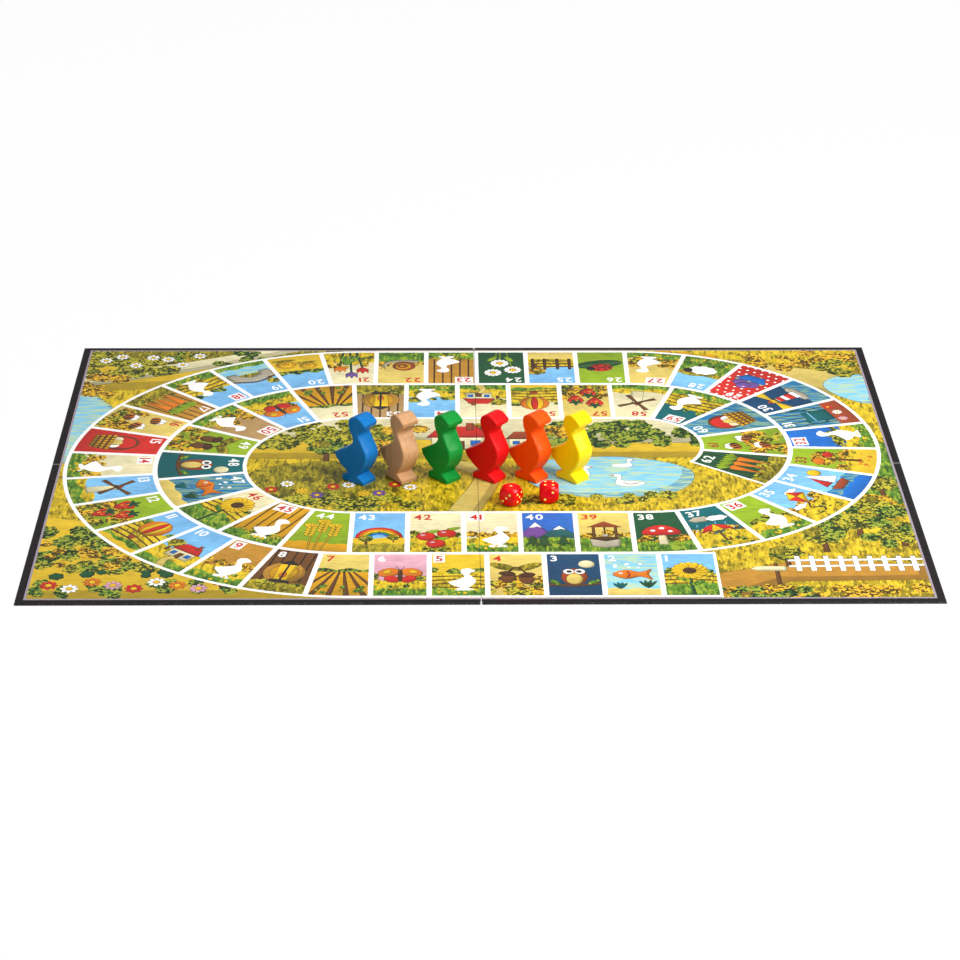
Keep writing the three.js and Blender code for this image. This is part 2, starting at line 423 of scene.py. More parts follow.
class Effect(Graph):
    """Node group of one surface effect, fed with coordinates in metres; it gives values only.

    Args:
        kind: which effect.
    """

    def __init__(self, kind: GroupKind) -> None:
        """Builds the group with an output for each value."""
        tree = bpy.data.node_groups.new(kind.value, "ShaderNodeTree")
        tree.interface.new_socket("Vector", in_out="INPUT", socket_type="NodeSocketVector")
        super().__init__(tree)
        self.vector = self.node("NodeGroupInput").outputs["Vector"]
        values = getattr(self, kind.value)()
        for name in values:
            tree.interface.new_socket(name, in_out="OUTPUT", socket_type="NodeSocketFloat")
        self.node("NodeGroupOutput", values)

    def strain(self, stretch: Triple, detail: float, low: float, high: float, rough: float = 0.55) -> Socket:
        """Returns noise along stretched coordinates, from 0 at the low level to 1 at the high one."""
        return self.ramp(self.noise(self.stretched(self.vector, stretch), 1.0, detail, rough), low, high)

    def weave(self) -> dict[str, Socket]:
        """Returns crossed ribs of linen cloth or linen-grained paper."""
        along, across = (self.strain(stretch, 2.0, 0.3, 0.7) for stretch in ((900, 60, 60), (60, 900, 60)))
        height = self.raised(along, 0.5, self.scaled(across, 0.5))
        return {"Height": height, "Fleck": self.ramp(height, 0.55, 0.85)}

    def grain(self) -> dict[str, Socket]:
        """Returns growth lines and pores that run along the z axis."""
        return {
            "Drift": self.strain((90, 90, 14), 2.0, 0.3, 0.7),
            "Lines": self.strain((900, 900, 26), 3.0, 0.36, 0.68),
            "Pores": self.strain((3600, 3600, 240), 2.0, 0.58, 0.72),
        }

    def handling(self) -> dict[str, Socket]:
        """Returns soft smudges and fine wear."""
        return {
            "Smudge": self.ramp(self.noise(self.vector, 38.0, 4.0), 0.42, 0.72),
            "Wear": self.ramp(self.noise(self.vector, 620.0, 5.0, 0.7), 0.5, 0.66),
        }

    def brushwork(self) -> dict[str, Socket]:
        """Paints dabs and strokes in cells of bent coordinates, crowded into clumps by broad patches.

        Returns:
            Leaf dabs, grass strokes, streaks, ripples and broad washes.
        """
        patches = self.noise(self.vector, 105.0, 3.0, 0.6)
        clumps = self.scaled(self.math("SUBTRACT", patches, 0.5), 1.5)
        drift = self.node("ShaderNodeTexNoise", {"Vector": self.vector, "Scale": 500.0, "Detail": 2.0})
        shift = self.stretched(drift.outputs[1], (0.002, 0.002, 0.0))
        bent = self.node("ShaderNodeVectorMath", {0: self.vector, 1: shift}, operation="ADD").outputs[0]
        marks = []
        for stretch in ((620, 620, 1), (760, 210, 1)):
            cells = self.node("ShaderNodeTexVoronoi", {"Vector": self.stretched(bent, stretch), "Scale": 1.0})
            marks.append(self.math("ADD", self.parts(cells.outputs["Color"])[0], clumps))
        dabs, strokes = marks
        return {
            "Dark dabs": self.ramp(dabs, 0.56, 0.64),
            "Light dabs": self.ramp(dabs, 0.4, 0.32),
            "Dark strokes": self.ramp(strokes, 0.74, 0.84),
            "Light strokes": self.ramp(strokes, 0.3, 0.2),
            "Streaks": self.strain((110, 760, 1), 4.0, 0.38, 0.66, 0.6),
            "Ripples": self.strain((60, 420, 1), 2.0, 0.46, 0.56, 0.5),
            "Wash": self.ramp(patches, 0.3, 0.72),
        }


class SharedGroups:
    """Makes each shared node group once and hands it to the materials."""

    def __init__(self) -> None:
        """Starts with no group made."""
        self.made: dict[GroupKind, bpy.types.NodeTree] = {}

    def use(self, graph: Graph, kind: GroupKind, vector: Socket) -> bpy.types.NodeOutputs:
        """Adds a group node fed with coordinates.

        Args:
            graph: graph of the material.
            kind: which effect.
            vector: coordinates in metres.

        Returns:
            The outputs of the group node.
        """
        if kind not in self.made:
            self.made[kind] = Effect(kind).tree
        return graph.node("ShaderNodeGroup", {"Vector": vector}, node_tree=self.made[kind]).outputs


def material(name: str) -> tuple[bpy.types.Material, Graph, Node]:
    """Starts a material with one principled shader.

    Args:
        name: name of the finish.

    Returns:
        The material, its graph and the shader node.
    """
    made = bpy.data.materials.new(name)
    made.use_nodes = True
    graph = Graph(made.node_tree)
    shader = graph.node("ShaderNodeBsdfPrincipled")
    graph.node("ShaderNodeOutputMaterial", {"Surface": shader.outputs[0]})
    return made, graph, shader


def bump(graph: Graph, height: Socket, distance: float, strength: float) -> Socket:
    """Turns a height into a normal and returns it; distance is the height in metres."""
    inputs = {"Height": height, "Distance": distance, "Strength": strength}
    return graph.node("ShaderNodeBump", inputs).outputs[0]


# Print: inks


class Touch(Enum):
    """How an ink is laid on: shares of leaf dabs, grass strokes, streaks, ripples and washes."""

    FLAT = (0.0, 0.0, 0.0, 0.0, 0.06)
    PAINTED = (0.0, 0.0, 0.45, 0.0, 0.45)
    GRASSY = (0.0, 0.8, 0.35, 0.0, 0.6)
    LEAFY = (1.0, 0.0, 0.0, 0.0, 0.5)
    RIPPLED = (0.0, 0.0, 0.1, 0.75, 0.3)


@dataclass(frozen=True)
class Ink:
    """One printed tone: colour at the foot and head of a shape, colour of its darker and lighter touches."""

    low: Colour
    high: Colour
    dark: Colour
    light: Colour
    touch: Touch = Touch.PAINTED

    def line(self) -> Ink:
        """Returns the ink of the drawn line round a shape."""
        return Ink(self.dark, self.dark, self.dark, self.dark, Touch.FLAT)

    def shade(self) -> Ink:
        """Returns the ink of a shape's shaded side."""
        low, high = (
            tuple((1 - SHADE) * full + SHADE * dark for full, dark in zip(tone, self.dark))
            for tone in (self.low, self.high)
        )
        return Ink(low, high, self.dark, self.light, self.touch)


def ink(red: float, green: float, blue: float, touch: Touch = Touch.PAINTED, fall: float = 0.82) -> Ink:
    """Makes an ink from a screen colour.

    Args:
        red, green, blue: screen colour at the head of a shape.
        touch: how it is laid on.
        fall: brightness at the foot, as a share of the head's.

    Returns:
        The ink.
    """
    head = np.array((red, green, blue), float)
    dark = head * (0.32, 0.35, 0.26)
    light = head * 0.55 + (118, 100, 30)
    return Ink(*(srgb(*np.clip(tone, 0, 255)) for tone in (head * fall, head, dark, light)), touch)


WHITE = ink(244, 243, 240, Touch.FLAT, 0.97)
PAPER = ink(240, 239, 238, Touch.FLAT, 1.0)
MARGIN = ink(150, 138, 150, Touch.FLAT, 1.0)
CREAM = ink(250, 238, 190)
SAND = ink(240, 212, 110)
SUN = ink(255, 205, 20)
GOLD = ink(226, 165, 12)
OCHRE = ink(204, 146, 48)
TAN = ink(196, 156, 100)
ORANGE = ink(242, 130, 18)
RED = ink(222, 44, 32)
BRICK = ink(170, 72, 34)
ROSE = ink(238, 178, 196)
LILAC = ink(124, 86, 172)
SKY = ink(120, 182, 232, fall=1.16)
BLUE = ink(24, 112, 206)
NIGHT = ink(10, 70, 110)
TEAL = ink(0, 104, 108)
LIME = ink(156, 188, 30)
LEAF = ink(94, 146, 36, Touch.GRASSY)
FOREST = ink(28, 88, 50)
OLIVE = ink(150, 138, 20, Touch.GRASSY)
MEADOW = ink(222, 190, 24, Touch.GRASSY)
HAY = ink(236, 196, 40, Touch.PAINTED, 0.9)
GREENERY = ink(128, 136, 26, Touch.LEAFY)
AUTUMN = ink(196, 146, 18, Touch.LEAFY)
HEDGE = ink(64, 110, 30, Touch.LEAFY)
BARK = ink(118, 74, 32)
UMBER = ink(84, 52, 24)
BLACK = ink(42, 36, 34, Touch.FLAT)
STONE = ink(198, 188, 164)
WATER = ink(120, 188, 220, Touch.RIPPLED, 1.08)
SEA = ink(20, 120, 178, Touch.RIPPLED)


# Print: shapes


class Mark:
    """Something printed in one ink."""

    ink: Ink

    def outlines(self) -> list[Array]:
        """Returns the outlines to fill, in the millimetres of a picture."""
        raise NotImplementedError


@dataclass(frozen=True)
class Shape(Mark):
    """A filled outline; smooth runs a closed curve through the points."""

    points: Sequence[Point]
    ink: Ink
    smooth: bool = False

    def outlines(self) -> list[Array]:
        """Traces the points or the curve."""
        points = np.asarray(self.points, float)
        return [catmull(points, CURVE_STEPS, closed=True) if self.smooth else points]


@dataclass(frozen=True)
class Oval(Mark):
    """An ellipse, or a lumpy clump where lumps is set: r = 1 + depth cos(lumps t + phase)."""

    x: float
    y: float
    rx: float
    ry: float
    ink: Ink
    tilt: float = 0.0
    lumps: int = 0
    depth: float = 0.12

    def outlines(self) -> list[Array]:
        """Traces the ellipse, with fewer points where it is small."""
        round_steps = SMALL_OVAL_STEPS if max(self.rx, self.ry) <= SMALL_OVAL else OVAL_STEPS
        steps = LUMP_STEPS * self.lumps or round_steps
        turn = np.linspace(0, 2 * np.pi, steps, endpoint=False)
        reach = 1 + (self.depth * np.cos(self.lumps * turn + LUMP_PHASE) if self.lumps else 0)
        across, up = self.rx * reach * np.cos(turn), self.ry * reach * np.sin(turn)
        c, s = math.cos(math.radians(self.tilt)), math.sin(math.radians(self.tilt))
        return [np.column_stack([self.x + c * across - s * up, self.y + s * across + c * up])]


@dataclass(frozen=True)
class Stroke(Mark):
    """A brush stroke through points, from one width to another."""

    points: Sequence[Point]
    start: float
    end: float
    ink: Ink

    def outlines(self) -> list[Array]:
        """Widens the curve through the points to both sides."""
        path = np.asarray(self.points, float)
        path = catmull(path, CURVE_STEPS) if len(path) > 2 else path
        ahead = np.gradient(path, axis=0)
        ahead /= np.linalg.norm(ahead, axis=1, keepdims=True)
        half = np.linspace(self.start, self.end, len(path))[:, None] / 2
        side = np.column_stack([-ahead[:, 1], ahead[:, 0]]) * half
        return [np.vstack([path - side, (path + side)[::-1]])]


@dataclass(frozen=True)
class Band(Mark):
    """A strip right across a picture with a wavy top: top + wave sin(count x / 10 + phase)."""

    top: float
    ink: Ink
    wave: float = 0.0
    count: float = 1.0
    phase: float = 0.0
    low: float = -30.0

    def outlines(self) -> list[Array]:
        """Traces the strip."""
        x = np.linspace(-BAND_REACH, BAND_REACH, WAVE_POINTS if self.wave else 2)
        top = self.top + self.wave * np.sin(self.count * x / 10 + self.phase)
        foot = [(-BAND_REACH, self.low), (BAND_REACH, self.low)]
        return [np.vstack([foot, np.column_stack([x, top])[::-1]])]


@dataclass(frozen=True)
class Petals(Mark):
    """A ring of ovals round a middle."""

    x: float
    y: float
    count: int
    reach: float
    length: float
    width: float
    ink: Ink
    start: float = 90.0
    sweep: float = 360.0

    def outlines(self) -> list[Array]:
        """Lays the ovals at even turns, each along its own turn."""
        turns = self.start + np.arange(self.count) * self.sweep / self.count
        places = np.column_stack([np.cos(np.radians(turns)), np.sin(np.radians(turns))]) * self.reach
        return [
            Oval(self.x + dx, self.y + dy, self.length, self.width, self.ink, turn).outlines()[0]
            for (dx, dy), turn in zip(places, turns)
        ]


@dataclass(frozen=True)
class Scatter(Mark):
    """Small ovals or clumps strewn over a box, from a fixed seed."""

    low: Point
    high: Point
    count: int
    size: float
    ink: Ink
    seed: int = 1
    lumps: int = 0

    def outlines(self) -> list[Array]:
        """Draws the places, the sizes and the tilts, and lays the highest first."""
        draw = np.random.default_rng(self.seed)
        places = draw.uniform(self.low, self.high, (self.count, 2))
        places = places[np.argsort(-places[:, 1])]
        sizes = self.size * draw.uniform(*SCATTER_SIZES, self.count)
        tilts = draw.uniform(*(CLUMP_TILTS if self.lumps else SPOT_TILTS), self.count)
        return [
            Oval(x, y, size, size, self.ink, tilt, self.lumps).outlines()[0]
            for (x, y), size, tilt in zip(places, sizes, tilts)
        ]


class Backdrop(Enum):
    """Scenery between the ground of a cell and its motif."""

    PLAIN = 0
    FIELD = 1
    LEAVES = 2
    PLANKS = 3
    STUBBLE = 4

    def marks(self, seed: int) -> tuple[Mark, ...]:
        """Draws the scenery.

        Args:
            seed: number that the strewn marks and waves start from.

        Returns:
            The marks from back to front.
        """
        if self is Backdrop.FIELD:
            return (
                Scatter((-17, -9), (17, -1), 10, 3.4, (GREENERY, AUTUMN)[seed % 2], seed, 6),
                Band(-8, MEADOW, 1.2, 3, seed),
                Scatter((-16, -27), (16, -14), 8, 1.9, HEDGE, seed + 1, 5),
            )
        if self is Backdrop.LEAVES:
            return (
                Scatter((-17, -28), (17, -4), 20, 4.4, AUTUMN, seed, 6),
                Scatter((-17, -28), (17, -12), 9, 3.4, GREENERY, seed + 1, 6),
            )
        if self is Backdrop.PLANKS:
            feet = {x: x + 0.4 * math.sin(x + seed) for x in range(-18, 19, 6)}
            return (
                *(Stroke(((foot, -30), (x, 30)), 0.5, 0.4, UMBER) for x, foot in feet.items()),
                Band(-15, OLIVE, 1.0, 5, seed),
                Scatter((-17, -20), (17, -12), 9, 2.6, GREENERY, seed, 6),
            )
        if self is Backdrop.STUBBLE:
            return (
                Scatter((-17, 1), (17, 7), 9, 3.0, HEDGE, seed, 6),
                Band(2, MEADOW, 1.0, 2, seed),
                *(
                    Stroke(((-20, y), (0, y + 1.3), (20, y - 0.8)), 0.9, 0.5, BARK)
                    for y in range(-3, -24, -5)
                ),
            )
        return ()


PLAIN, FIELD, LEAVES, PLANKS, STUBBLE = Backdrop


@dataclass(frozen=True)
class Motif:
    """A picture for one cell: its ground, its marks from back to front and the ink of its number."""

    ground: Ink
    marks: tuple[Mark, ...]
    number: Ink = WHITE
    tag: Ink | None = None
    scene: Backdrop = PLAIN


def disc(x: float, y: float, r: float, tone: Ink) -> Oval:
    """Returns a round spot."""
    return Oval(x, y, r, r, tone)


def taper(x: float, low: float, high: float, wide: float, narrow: float, tone: Ink) -> Shape:
    """Returns an upright block about x, with half its width at the low and at the high level."""
    return Shape(((x - wide, low), (x + wide, low), (x + narrow, high), (x - narrow, high)), tone)


def bar(start: Point, end: Point, width: float, tone: Ink) -> Stroke:
    """Returns a straight stroke of even width."""
    return Stroke((start, end), width, width, tone)


def leaf(x: float, y: float, length: float, tilt: float, tone: Ink = LEAF) -> Oval:
    """Returns a leaf that starts at a point and points along its tilt."""
    c, s = math.cos(math.radians(tilt)), math.sin(math.radians(tilt))
    return Oval(x + c * length / 2, y + s * length / 2, length / 2, length / 5, tone, tilt)


def tree(x: float, y: float, size: float, tone: Ink = GREENERY) -> tuple[Mark, ...]:
    """Returns a round tree whose trunk stands at a point and is size high."""
    return (
        Stroke(((x, y), (x, y + size)), size * 0.22, size * 0.16, BARK),
        Oval(x, y + size * 1.35, size * 0.8, size * 0.72, tone, 0, 7),
        Oval(x - size * 0.25, y + size * 1.6, size * 0.4, size * 0.32, OLIVE, 20, 6),
    )


def placed(points: Sequence[Point], x: float, y: float, size: float, side: int = 1) -> list[Point]:
    """Returns points made larger by size, mirrored where side is -1, and moved to a place."""
    return [(x + side * px * size, y + py * size) for px, py in points]


def fir(x: float, y: float, size: float, tone: Ink = FOREST) -> Shape:
    """Returns a fir tree that stands at a point: the left half, then its mirror image."""
    half = (
        (0, 2.2), (-0.32, 1.5), (-0.16, 1.5), (-0.52, 0.85),
        (-0.26, 0.85), (-0.7, 0.15), (-0.1, 0.15), (-0.1, -0.2),
    )
    return Shape(placed(half, x, y, size) + placed(half[:0:-1], x, y, size, -1), tone)


def house(x: float, y: float, size: float, roof: Ink = RED) -> tuple[Mark, ...]:
    """Returns a cottage whose front stands at a point and is size wide."""
    w, h = size * 0.5, size * 0.55
    sill, lintel = y + h * 0.35, y + h * 0.75
    return (
        taper(x, y, y + h, w, w, CREAM),
        taper(x, y + h, y + h * 1.9, w * 1.2, w * 0.7, roof),
        taper(x, y, y + h * 0.7, w * 0.2, w * 0.2, BARK),
        Shape(rectangle(x + w * 0.45, sill, x + w * 0.8, lintel), BLUE),
        Shape(rectangle(x - w * 0.8, sill, x - w * 0.45, lintel), BLUE),
        Shape(rectangle(x + w * 0.3, y + h * 1.6, x + w * 0.55, y + h * 2.2), BRICK),
    )


def swimmer(x: float, y: float, size: float, side: int = 1) -> tuple[Mark, ...]:
    """Returns a white goose on the water that looks to the right, or to the left where side is -1."""
    body = (
        (-1.0, 0.1), (-0.55, -0.25), (0.3, -0.3), (0.75, 0.0), (0.7, 0.45), (0.62, 0.95), (0.85, 1.1),
        (0.78, 1.32), (0.5, 1.36), (0.36, 1.1), (0.4, 0.6), (0.1, 0.4), (-0.5, 0.35),
    )
    bill = ((0.8, 1.26), (1.16, 1.1), (0.8, 1.08))
    wing = ((-0.6, 0.12), (-0.1, -0.05), (0.3, 0.2))
    body, bill, wing = (placed(points, x, y, size, side) for points in (body, bill, wing))
    return (
        Shape(body, WHITE, smooth=True),
        Shape(bill, ORANGE),
        Stroke(wing, size * 0.08, size * 0.05, STONE),
    )


def flower(x: float, y: float, size: float, tone: Ink, eye: Ink = SUN, count: int = 8) -> tuple[Mark, ...]:
    """Returns a flower head: its petals, then its eye."""
    return Petals(x, y, count, size * 0.62, size * 0.42, size * 0.24, tone), disc(x, y, size * 0.36, eye)


def flower_row(x: float, y: float, count: int, step: float, swing: float, pace: float, size: float,
               *tones: Ink) -> list[Mark]:
    """Returns a row of flowers: flower k is k steps along, swing sin(k pace) up, in the next tone."""
    return [
        mark
        for k in range(count)
        for mark in flower(x + step * k, y + swing * math.sin(k * pace), size, tones[k % len(tones)])
    ]


MOTIFS: dict[str, Motif] = {
    "sunflower": Motif(SKY, (
        Band(-12, LEAF, 1.5, 2), Stroke(((1, -28), (0, -10), (0, 3)), 1.8, 1.2, FOREST),
        leaf(0, -14, 10, 35), leaf(0, -9, 10, 150), *flower(0, 5, 11, SUN, UMBER, 15),
    ), scene=STUBBLE),
    "tulips": Motif(CREAM, tuple(
        mark for x, top, tone in ((-8, 0, RED), (0, 8, LILAC), (8, -3, ORANGE)) for mark in (
            Stroke(((x * 0.6, -28), (x, top)), 1.2, 1.0, FOREST), leaf(x * 0.7, -22, 17, 80 + x * 3),
            Shape(((x, top - 1), (x + 4, top + 3), (x + 4, top + 10), (x + 1.7, top + 6), (x, top + 10.5),
                   (x - 1.7, top + 6), (x - 4, top + 10), (x - 4, top + 3)), tone),
        )), RED, scene=FIELD),
    "apples": Motif(CREAM, tuple(
        mark for x, y in ((-6, -6), (7, -2), (0, -16)) for mark in (
            leaf(x, y + 5, 9, 25, LIME), Oval(x, y, 6, 5.6, RED), Oval(x - 2, y + 2, 1.6, 1.2, ROSE),
            Stroke(((x, y + 4), (x + 1, y + 8)), 0.9, 0.7, BARK),
        )), RED, scene=FIELD),
    "carrots": Motif(OCHRE, tuple(
        mark for x, tilt in ((-7, -2), (0, 0), (7, 2)) for mark in (
            Petals(x, 4, 5, 5, 5, 1.1, LIME, 50, 100),
            Shape(((x - 3.2, 3), (x, 4.4), (x + 3.2, 3), (x + tilt * 0.5, -20)), ORANGE),
        )), scene=PLANKS),
    "mushroom": Motif(FOREST, (
        Band(-14, LEAF, 1.2, 4), taper(0, -18, -2, 3, 2.2, CREAM),
        Shape(((-12, -3), (-9, 5), (0, 9.5), (9, 5), (12, -3), (0, -5)), RED, True),
        Oval(-5, 2, 1.7, 1.3, WHITE), Oval(1, 5, 1.9, 1.4, WHITE), Oval(6, 0.5, 1.6, 1.2, WHITE),
        Petals(-9, -20, 5, 4, 4, 0.7, LIME, 50, 100), Petals(9, -21, 5, 4, 4, 0.7, LIME, 50, 100),
    ), scene=LEAVES),
    "windmill": Motif(SKY, (
        Band(-14, MEADOW, 2, 2), Band(-20, LEAF, 1.5, 3, 2),
        taper(0, -17, 3, 4.5, 3, CREAM), Shape(((-3.6, 3), (3.6, 3), (0, 8)), BRICK),
        *(Stroke(((0, 3), (14 * math.cos(a), 3 + 14 * math.sin(a))), 1.2, 3.4, BARK)
          for a in (0.5, 2.07, 3.64, 5.21)),
        disc(0, 3, 1.4, UMBER),
    )),
    "boat": Motif(SKY, (
        disc(8, 10, 4.5, SUN), Band(-8, SEA, 0.8, 7), taper(-0.5, -9, -15, 9.5, 6.5, BRICK),
        Shape(((0, -7), (0, 14), (10, -5)), WHITE), Shape(((-1, -6), (-1, 10), (-9, -5)), RED),
        Band(-17, BLUE, 0.8, 6, 1),
    )),
    "cottage": Motif(SKY, (
        Band(-4, MEADOW, 1.5, 2), *tree(-10, -9, 8), *house(3, -14, 18), Band(-20, LEAF, 1, 3),
        Stroke(((3, -14), (0, -20), (4, -30)), 3, 6, SAND),
    )),
    "lighthouse": Motif(NIGHT, (
        Shape(((0, 9), (-24, 16), (-24, 2)), SUN), Shape(((0, 9), (24, 17), (24, 4)), HAY),
        Band(-12, SEA, 0.8, 6), Oval(1, -13, 12, 4, STONE, 0, 7),
        taper(0, -12, 6, 5, 3, WHITE), taper(0, -8, -3, 4.5, 4, RED), taper(0, 1, 5, 3.7, 3.2, RED),
        taper(0, 6, 7.4, 4, 4, BLACK), taper(0, 7.4, 11, 2.4, 2.4, SUN),
        Shape(((-3.4, 11), (3.4, 11), (0, 14.6)), BRICK),
    )),
    "butterfly": Motif(ROSE, (
        Oval(-7, 3, 7, 5.5, ORANGE, 30), Oval(7, 3, 7, 5.5, ORANGE, -30),
        Oval(-5, -6, 5, 4, RED, -35), Oval(5, -6, 5, 4, RED, 35),
        Oval(-8, 4, 2.6, 2, SUN, 30), Oval(8, 4, 2.6, 2, SUN, -30), Oval(0, -1, 1.3, 8, UMBER),
        *(Stroke(((0, 6), (x, 12)), 0.6, 0.4, UMBER) for x in (-3, 3)), Band(-19, LEAF, 1, 5),
    ), scene=FIELD),
    "ladybird": Motif(LIME, (
        leaf(-15, -10, 34, 14, FOREST), Stroke(((-15, -10), (16, -2)), 0.6, 0.4, LIME),
        Oval(0, 0, 8, 6.5, RED, 14), Oval(7.5, 2, 2.8, 3.4, BLACK, 14), bar((-8, -2), (7, 2), 0.7, BLACK),
        *(disc(x, y, 1.2, BLACK) for x, y in ((-3, 3), (2, 4), (-3, -4), (3, -3), (-6, 0.6))),
    )),
    "fish": Motif(WATER, (
        Shape(((-12, 0), (-4, 6), (5, 3), (12, 7), (10, 0), (12, -7), (5, -3), (-4, -6)), ORANGE, True),
        disc(-7, 1.5, 1.2, WHITE), disc(-7, 1.5, 0.6, BLACK),
        Stroke(((-3, 4), (-1.6, 0), (-3, -4)), 0.7, 0.5, RED),
        Scatter((-12, 8), (10, 18), 7, 1.1, WHITE, 3), Band(-19, SAND, 1, 4),
        Petals(9, -18, 4, 5, 5, 0.9, FOREST, 60, 80), Petals(-8, -19, 4, 4, 4, 0.9, TEAL, 60, 80),
    )),
    "snail": Motif(SAND, (
        Band(-11, LEAF, 1, 3), Stroke(((-12, -11), (-2, -12), (9, -10), (12, -2)), 4, 2.4, STONE),
        *(disc(x, -3, r, tone)
          for x, r, tone in ((-2, 8, BRICK), (-1.5, 5.6, GOLD), (-1, 3.4, BRICK), (-0.7, 1.6, GOLD))),
        *(Stroke(((12, -2), tip), 0.7, 0.5, BARK) for tip in ((11, 4), (15, 3))),
    ), BRICK, scene=LEAVES),
    "rainbow": Motif(SKY, (
        *(disc(0, -8, r, tone)
          for r, tone in ((15, RED), (13, ORANGE), (11, SUN), (9, LEAF), (7, BLUE), (5, SKY))),
        Band(-8, HAY, 1.2, 2), Band(-16, OLIVE, 1.2, 3, 1), *tree(-8, -17, 6, HEDGE), *tree(9, -14, 5),
    )),
    "bridge": Motif(SKY, (
        Band(0, OLIVE, 1.5, 2), Band(-9, WATER),
        Shape((
            (-16, -12), (-9, -12), (-7, -6), (0, -3), (7, -6), (9, -12), (16, -12), (16, 0), (0, 5), (-16, 0),
        ), STONE),
        Stroke(((-16, 1), (0, 6.5), (16, 1)), 1.4, 1.4, BARK), *tree(-11, 1, 6), Band(-21, LEAF, 1, 4),
    )),
    "well": Motif(SKY, (
        Band(-8, LEAF, 1, 2), *(bar((x, -12), (x, 8), 1.4, BARK) for x in (-7, 7)),
        Shape(((-11, 7), (11, 7), (0, 15)), BRICK), bar((0, 7), (0, -3), 0.6, UMBER),
        taper(0, -3, -7, 2, 1.6, STONE), Oval(0, -10, 9.5, 3.4, UMBER),
        Shape(((-9.5, -10), (-8.5, -20), (0, -22.5), (8.5, -20), (9.5, -10), (0, -13.2)), STONE),
    ), scene=FIELD),
    "basket": Motif(RED, (
        Oval(0, 0, 11, 12, BARK), Oval(0, 0, 9.4, 10.4, RED),
        Oval(-5, -5, 4, 5, CREAM, 10), Oval(4, -5, 4, 5, WHITE, -12), Oval(0, -4, 4, 5, SAND),
        taper(0, -6, -20, 12, 9, GOLD),
        *(bar((-11 + i * 0.6, -9 - i * 4), (11 - i * 0.6, -9 - i * 4), 0.8, BARK) for i in range(3)),
        *(bar((x, -6), (x * 0.8, -20), 0.6, BARK) for x in range(-8, 9, 4)),
    )),
    "kite": Motif(SKY, (
        Oval(-8, -6, 6, 2.4, WHITE, 0, 5), Oval(6, 12, 6, 2.2, WHITE, 0, 5),
        Shape(((3, 13), (11, 5), (1, -6), (-5, 5)), SUN),
        Shape(((3, 13), (11, 5), (3, 5)), RED), Shape(((3, 5), (1, -6), (-5, 5)), RED),
        Stroke(((1, -6), (-4, -12), (2, -17), (-6, -26)), 0.6, 0.6, BLACK), Band(-21, MEADOW, 1, 3),
    ), scene=FIELD),
    "balloon": Motif(SKY, (
        *(Oval(0, 4, width, 11, tone) for width, tone in ((10, ORANGE), (6, SUN), (2.2, RED))),
        *(bar((side * 7, -4), (side * 2.4, -12), 0.4, BARK) for side in (-1, 1)),
        taper(0, -12, -16, 2.6, 2, BRICK), Band(-19, LEAF, 1.5, 2), Band(-23, HAY, 1, 4),
    ), scene=STUBBLE),
    "can": Motif(SEA, (
        Band(-13, BRICK), Stroke(((7, -2), (15, 8)), 2.4, 1.8, TEAL), Oval(15, 9, 3, 1.6, TEAL, -40),
        Oval(-7, 0, 6, 8, TEAL), Oval(-7, 0, 4.4, 6.4, SEA),
        Shape(((-8, 6), (7, 6), (8.5, -13), (-8.5, -13)), TEAL), bar((-8, 1), (8, 1), 1, SKY),
        *flower(-10, -18, 3.4, ROSE), *flower(1, -19, 3.4, WHITE), *flower(11, -17, 3.4, RED),
    ), scene=PLANKS),
    "furrows": Motif(SKY, (
        Band(8, HEDGE, 1.2, 4), Band(4, GOLD),
        *(Stroke(((x * 0.25, 4), (x, -28)), 0.7, 3.2, BARK) for x in (-30, -18, -7, 4, 15, 27)),
        *(Scatter((x - 3, -24), (x + 3, -14), 5, 1.3, LEAF, 40 + x, 5) for x in (-12, 0, 11)),
    )),
    "sheep": Motif(LEAF, (
        Band(30, SKY, low=4), Band(5, OLIVE, 1, 3, low=-2),
        *(Stroke(((x, -10), (x, -17)), 1.2, 1, BLACK) for x in (-5, 5)),
        Oval(0, -6, 10, 7, WHITE, 0, 9, 0.08), Oval(10, -3, 3, 3.6, BLACK, 20),
        Scatter((-14, -26), (14, -18), 10, 0.9, SUN, 6),
    )),
    "owl": Motif(NIGHT, (
        disc(8, 14, 5, CREAM), Stroke(((-16, -13), (0, -15), (16, -12)), 2.6, 1.8, BARK),
        Oval(0, -3, 8, 11, BRICK), Oval(0, -6, 5, 7, SAND),
        *(disc(x, 4, r, tone)
          for x, r, tone in ((-3.4, 3.2, WHITE), (3.4, 3.2, WHITE), (-3, 1.5, BLACK), (3, 1.5, BLACK))),
        Shape(((-1, 2.4), (1, 2.4), (0, -0.4)), ORANGE), leaf(8, -13, 9, 40), leaf(-9, -14, 9, 130),
    )),
    "daisies": Motif(FOREST, (
        *(Stroke(((x * 0.5, -28), (x, y)), 0.8, 0.7, LIME) for x, y in ((-8, 4), (6, 9), (1, -7))),
        *flower(-8, 4, 6, WHITE, SUN, 12), *flower(6, 9, 6, WHITE, SUN, 12),
        *flower(1, -8, 6.4, WHITE, SUN, 12), leaf(-3, -20, 10, 120, LIME), leaf(3, -20, 10, 50, LIME),
    )),
    "wheat": Motif(SKY, (
        Band(-16, GOLD, 1, 5),
        *(mark for x, top in ((-8, 6), (-1, 13), (7, 8)) for mark in (
            Stroke(((x * 0.5, -28), (x, top)), 0.8, 0.6, SUN),
            Petals(x - 1, top - 4, 5, 5, 3, 1.3, SUN, 60, 75),
            *(Oval(x + side * 1.6, top - 2 - k * 3.4, 2.2, 1, SUN, 55 * side)
              for k in range(4) for side in (-1, 1)),
        )),
    )),
    "bales": Motif(SKY, (
        Band(2, HAY, 1, 2), Band(4, HEDGE, 1.6, 5, low=-2),
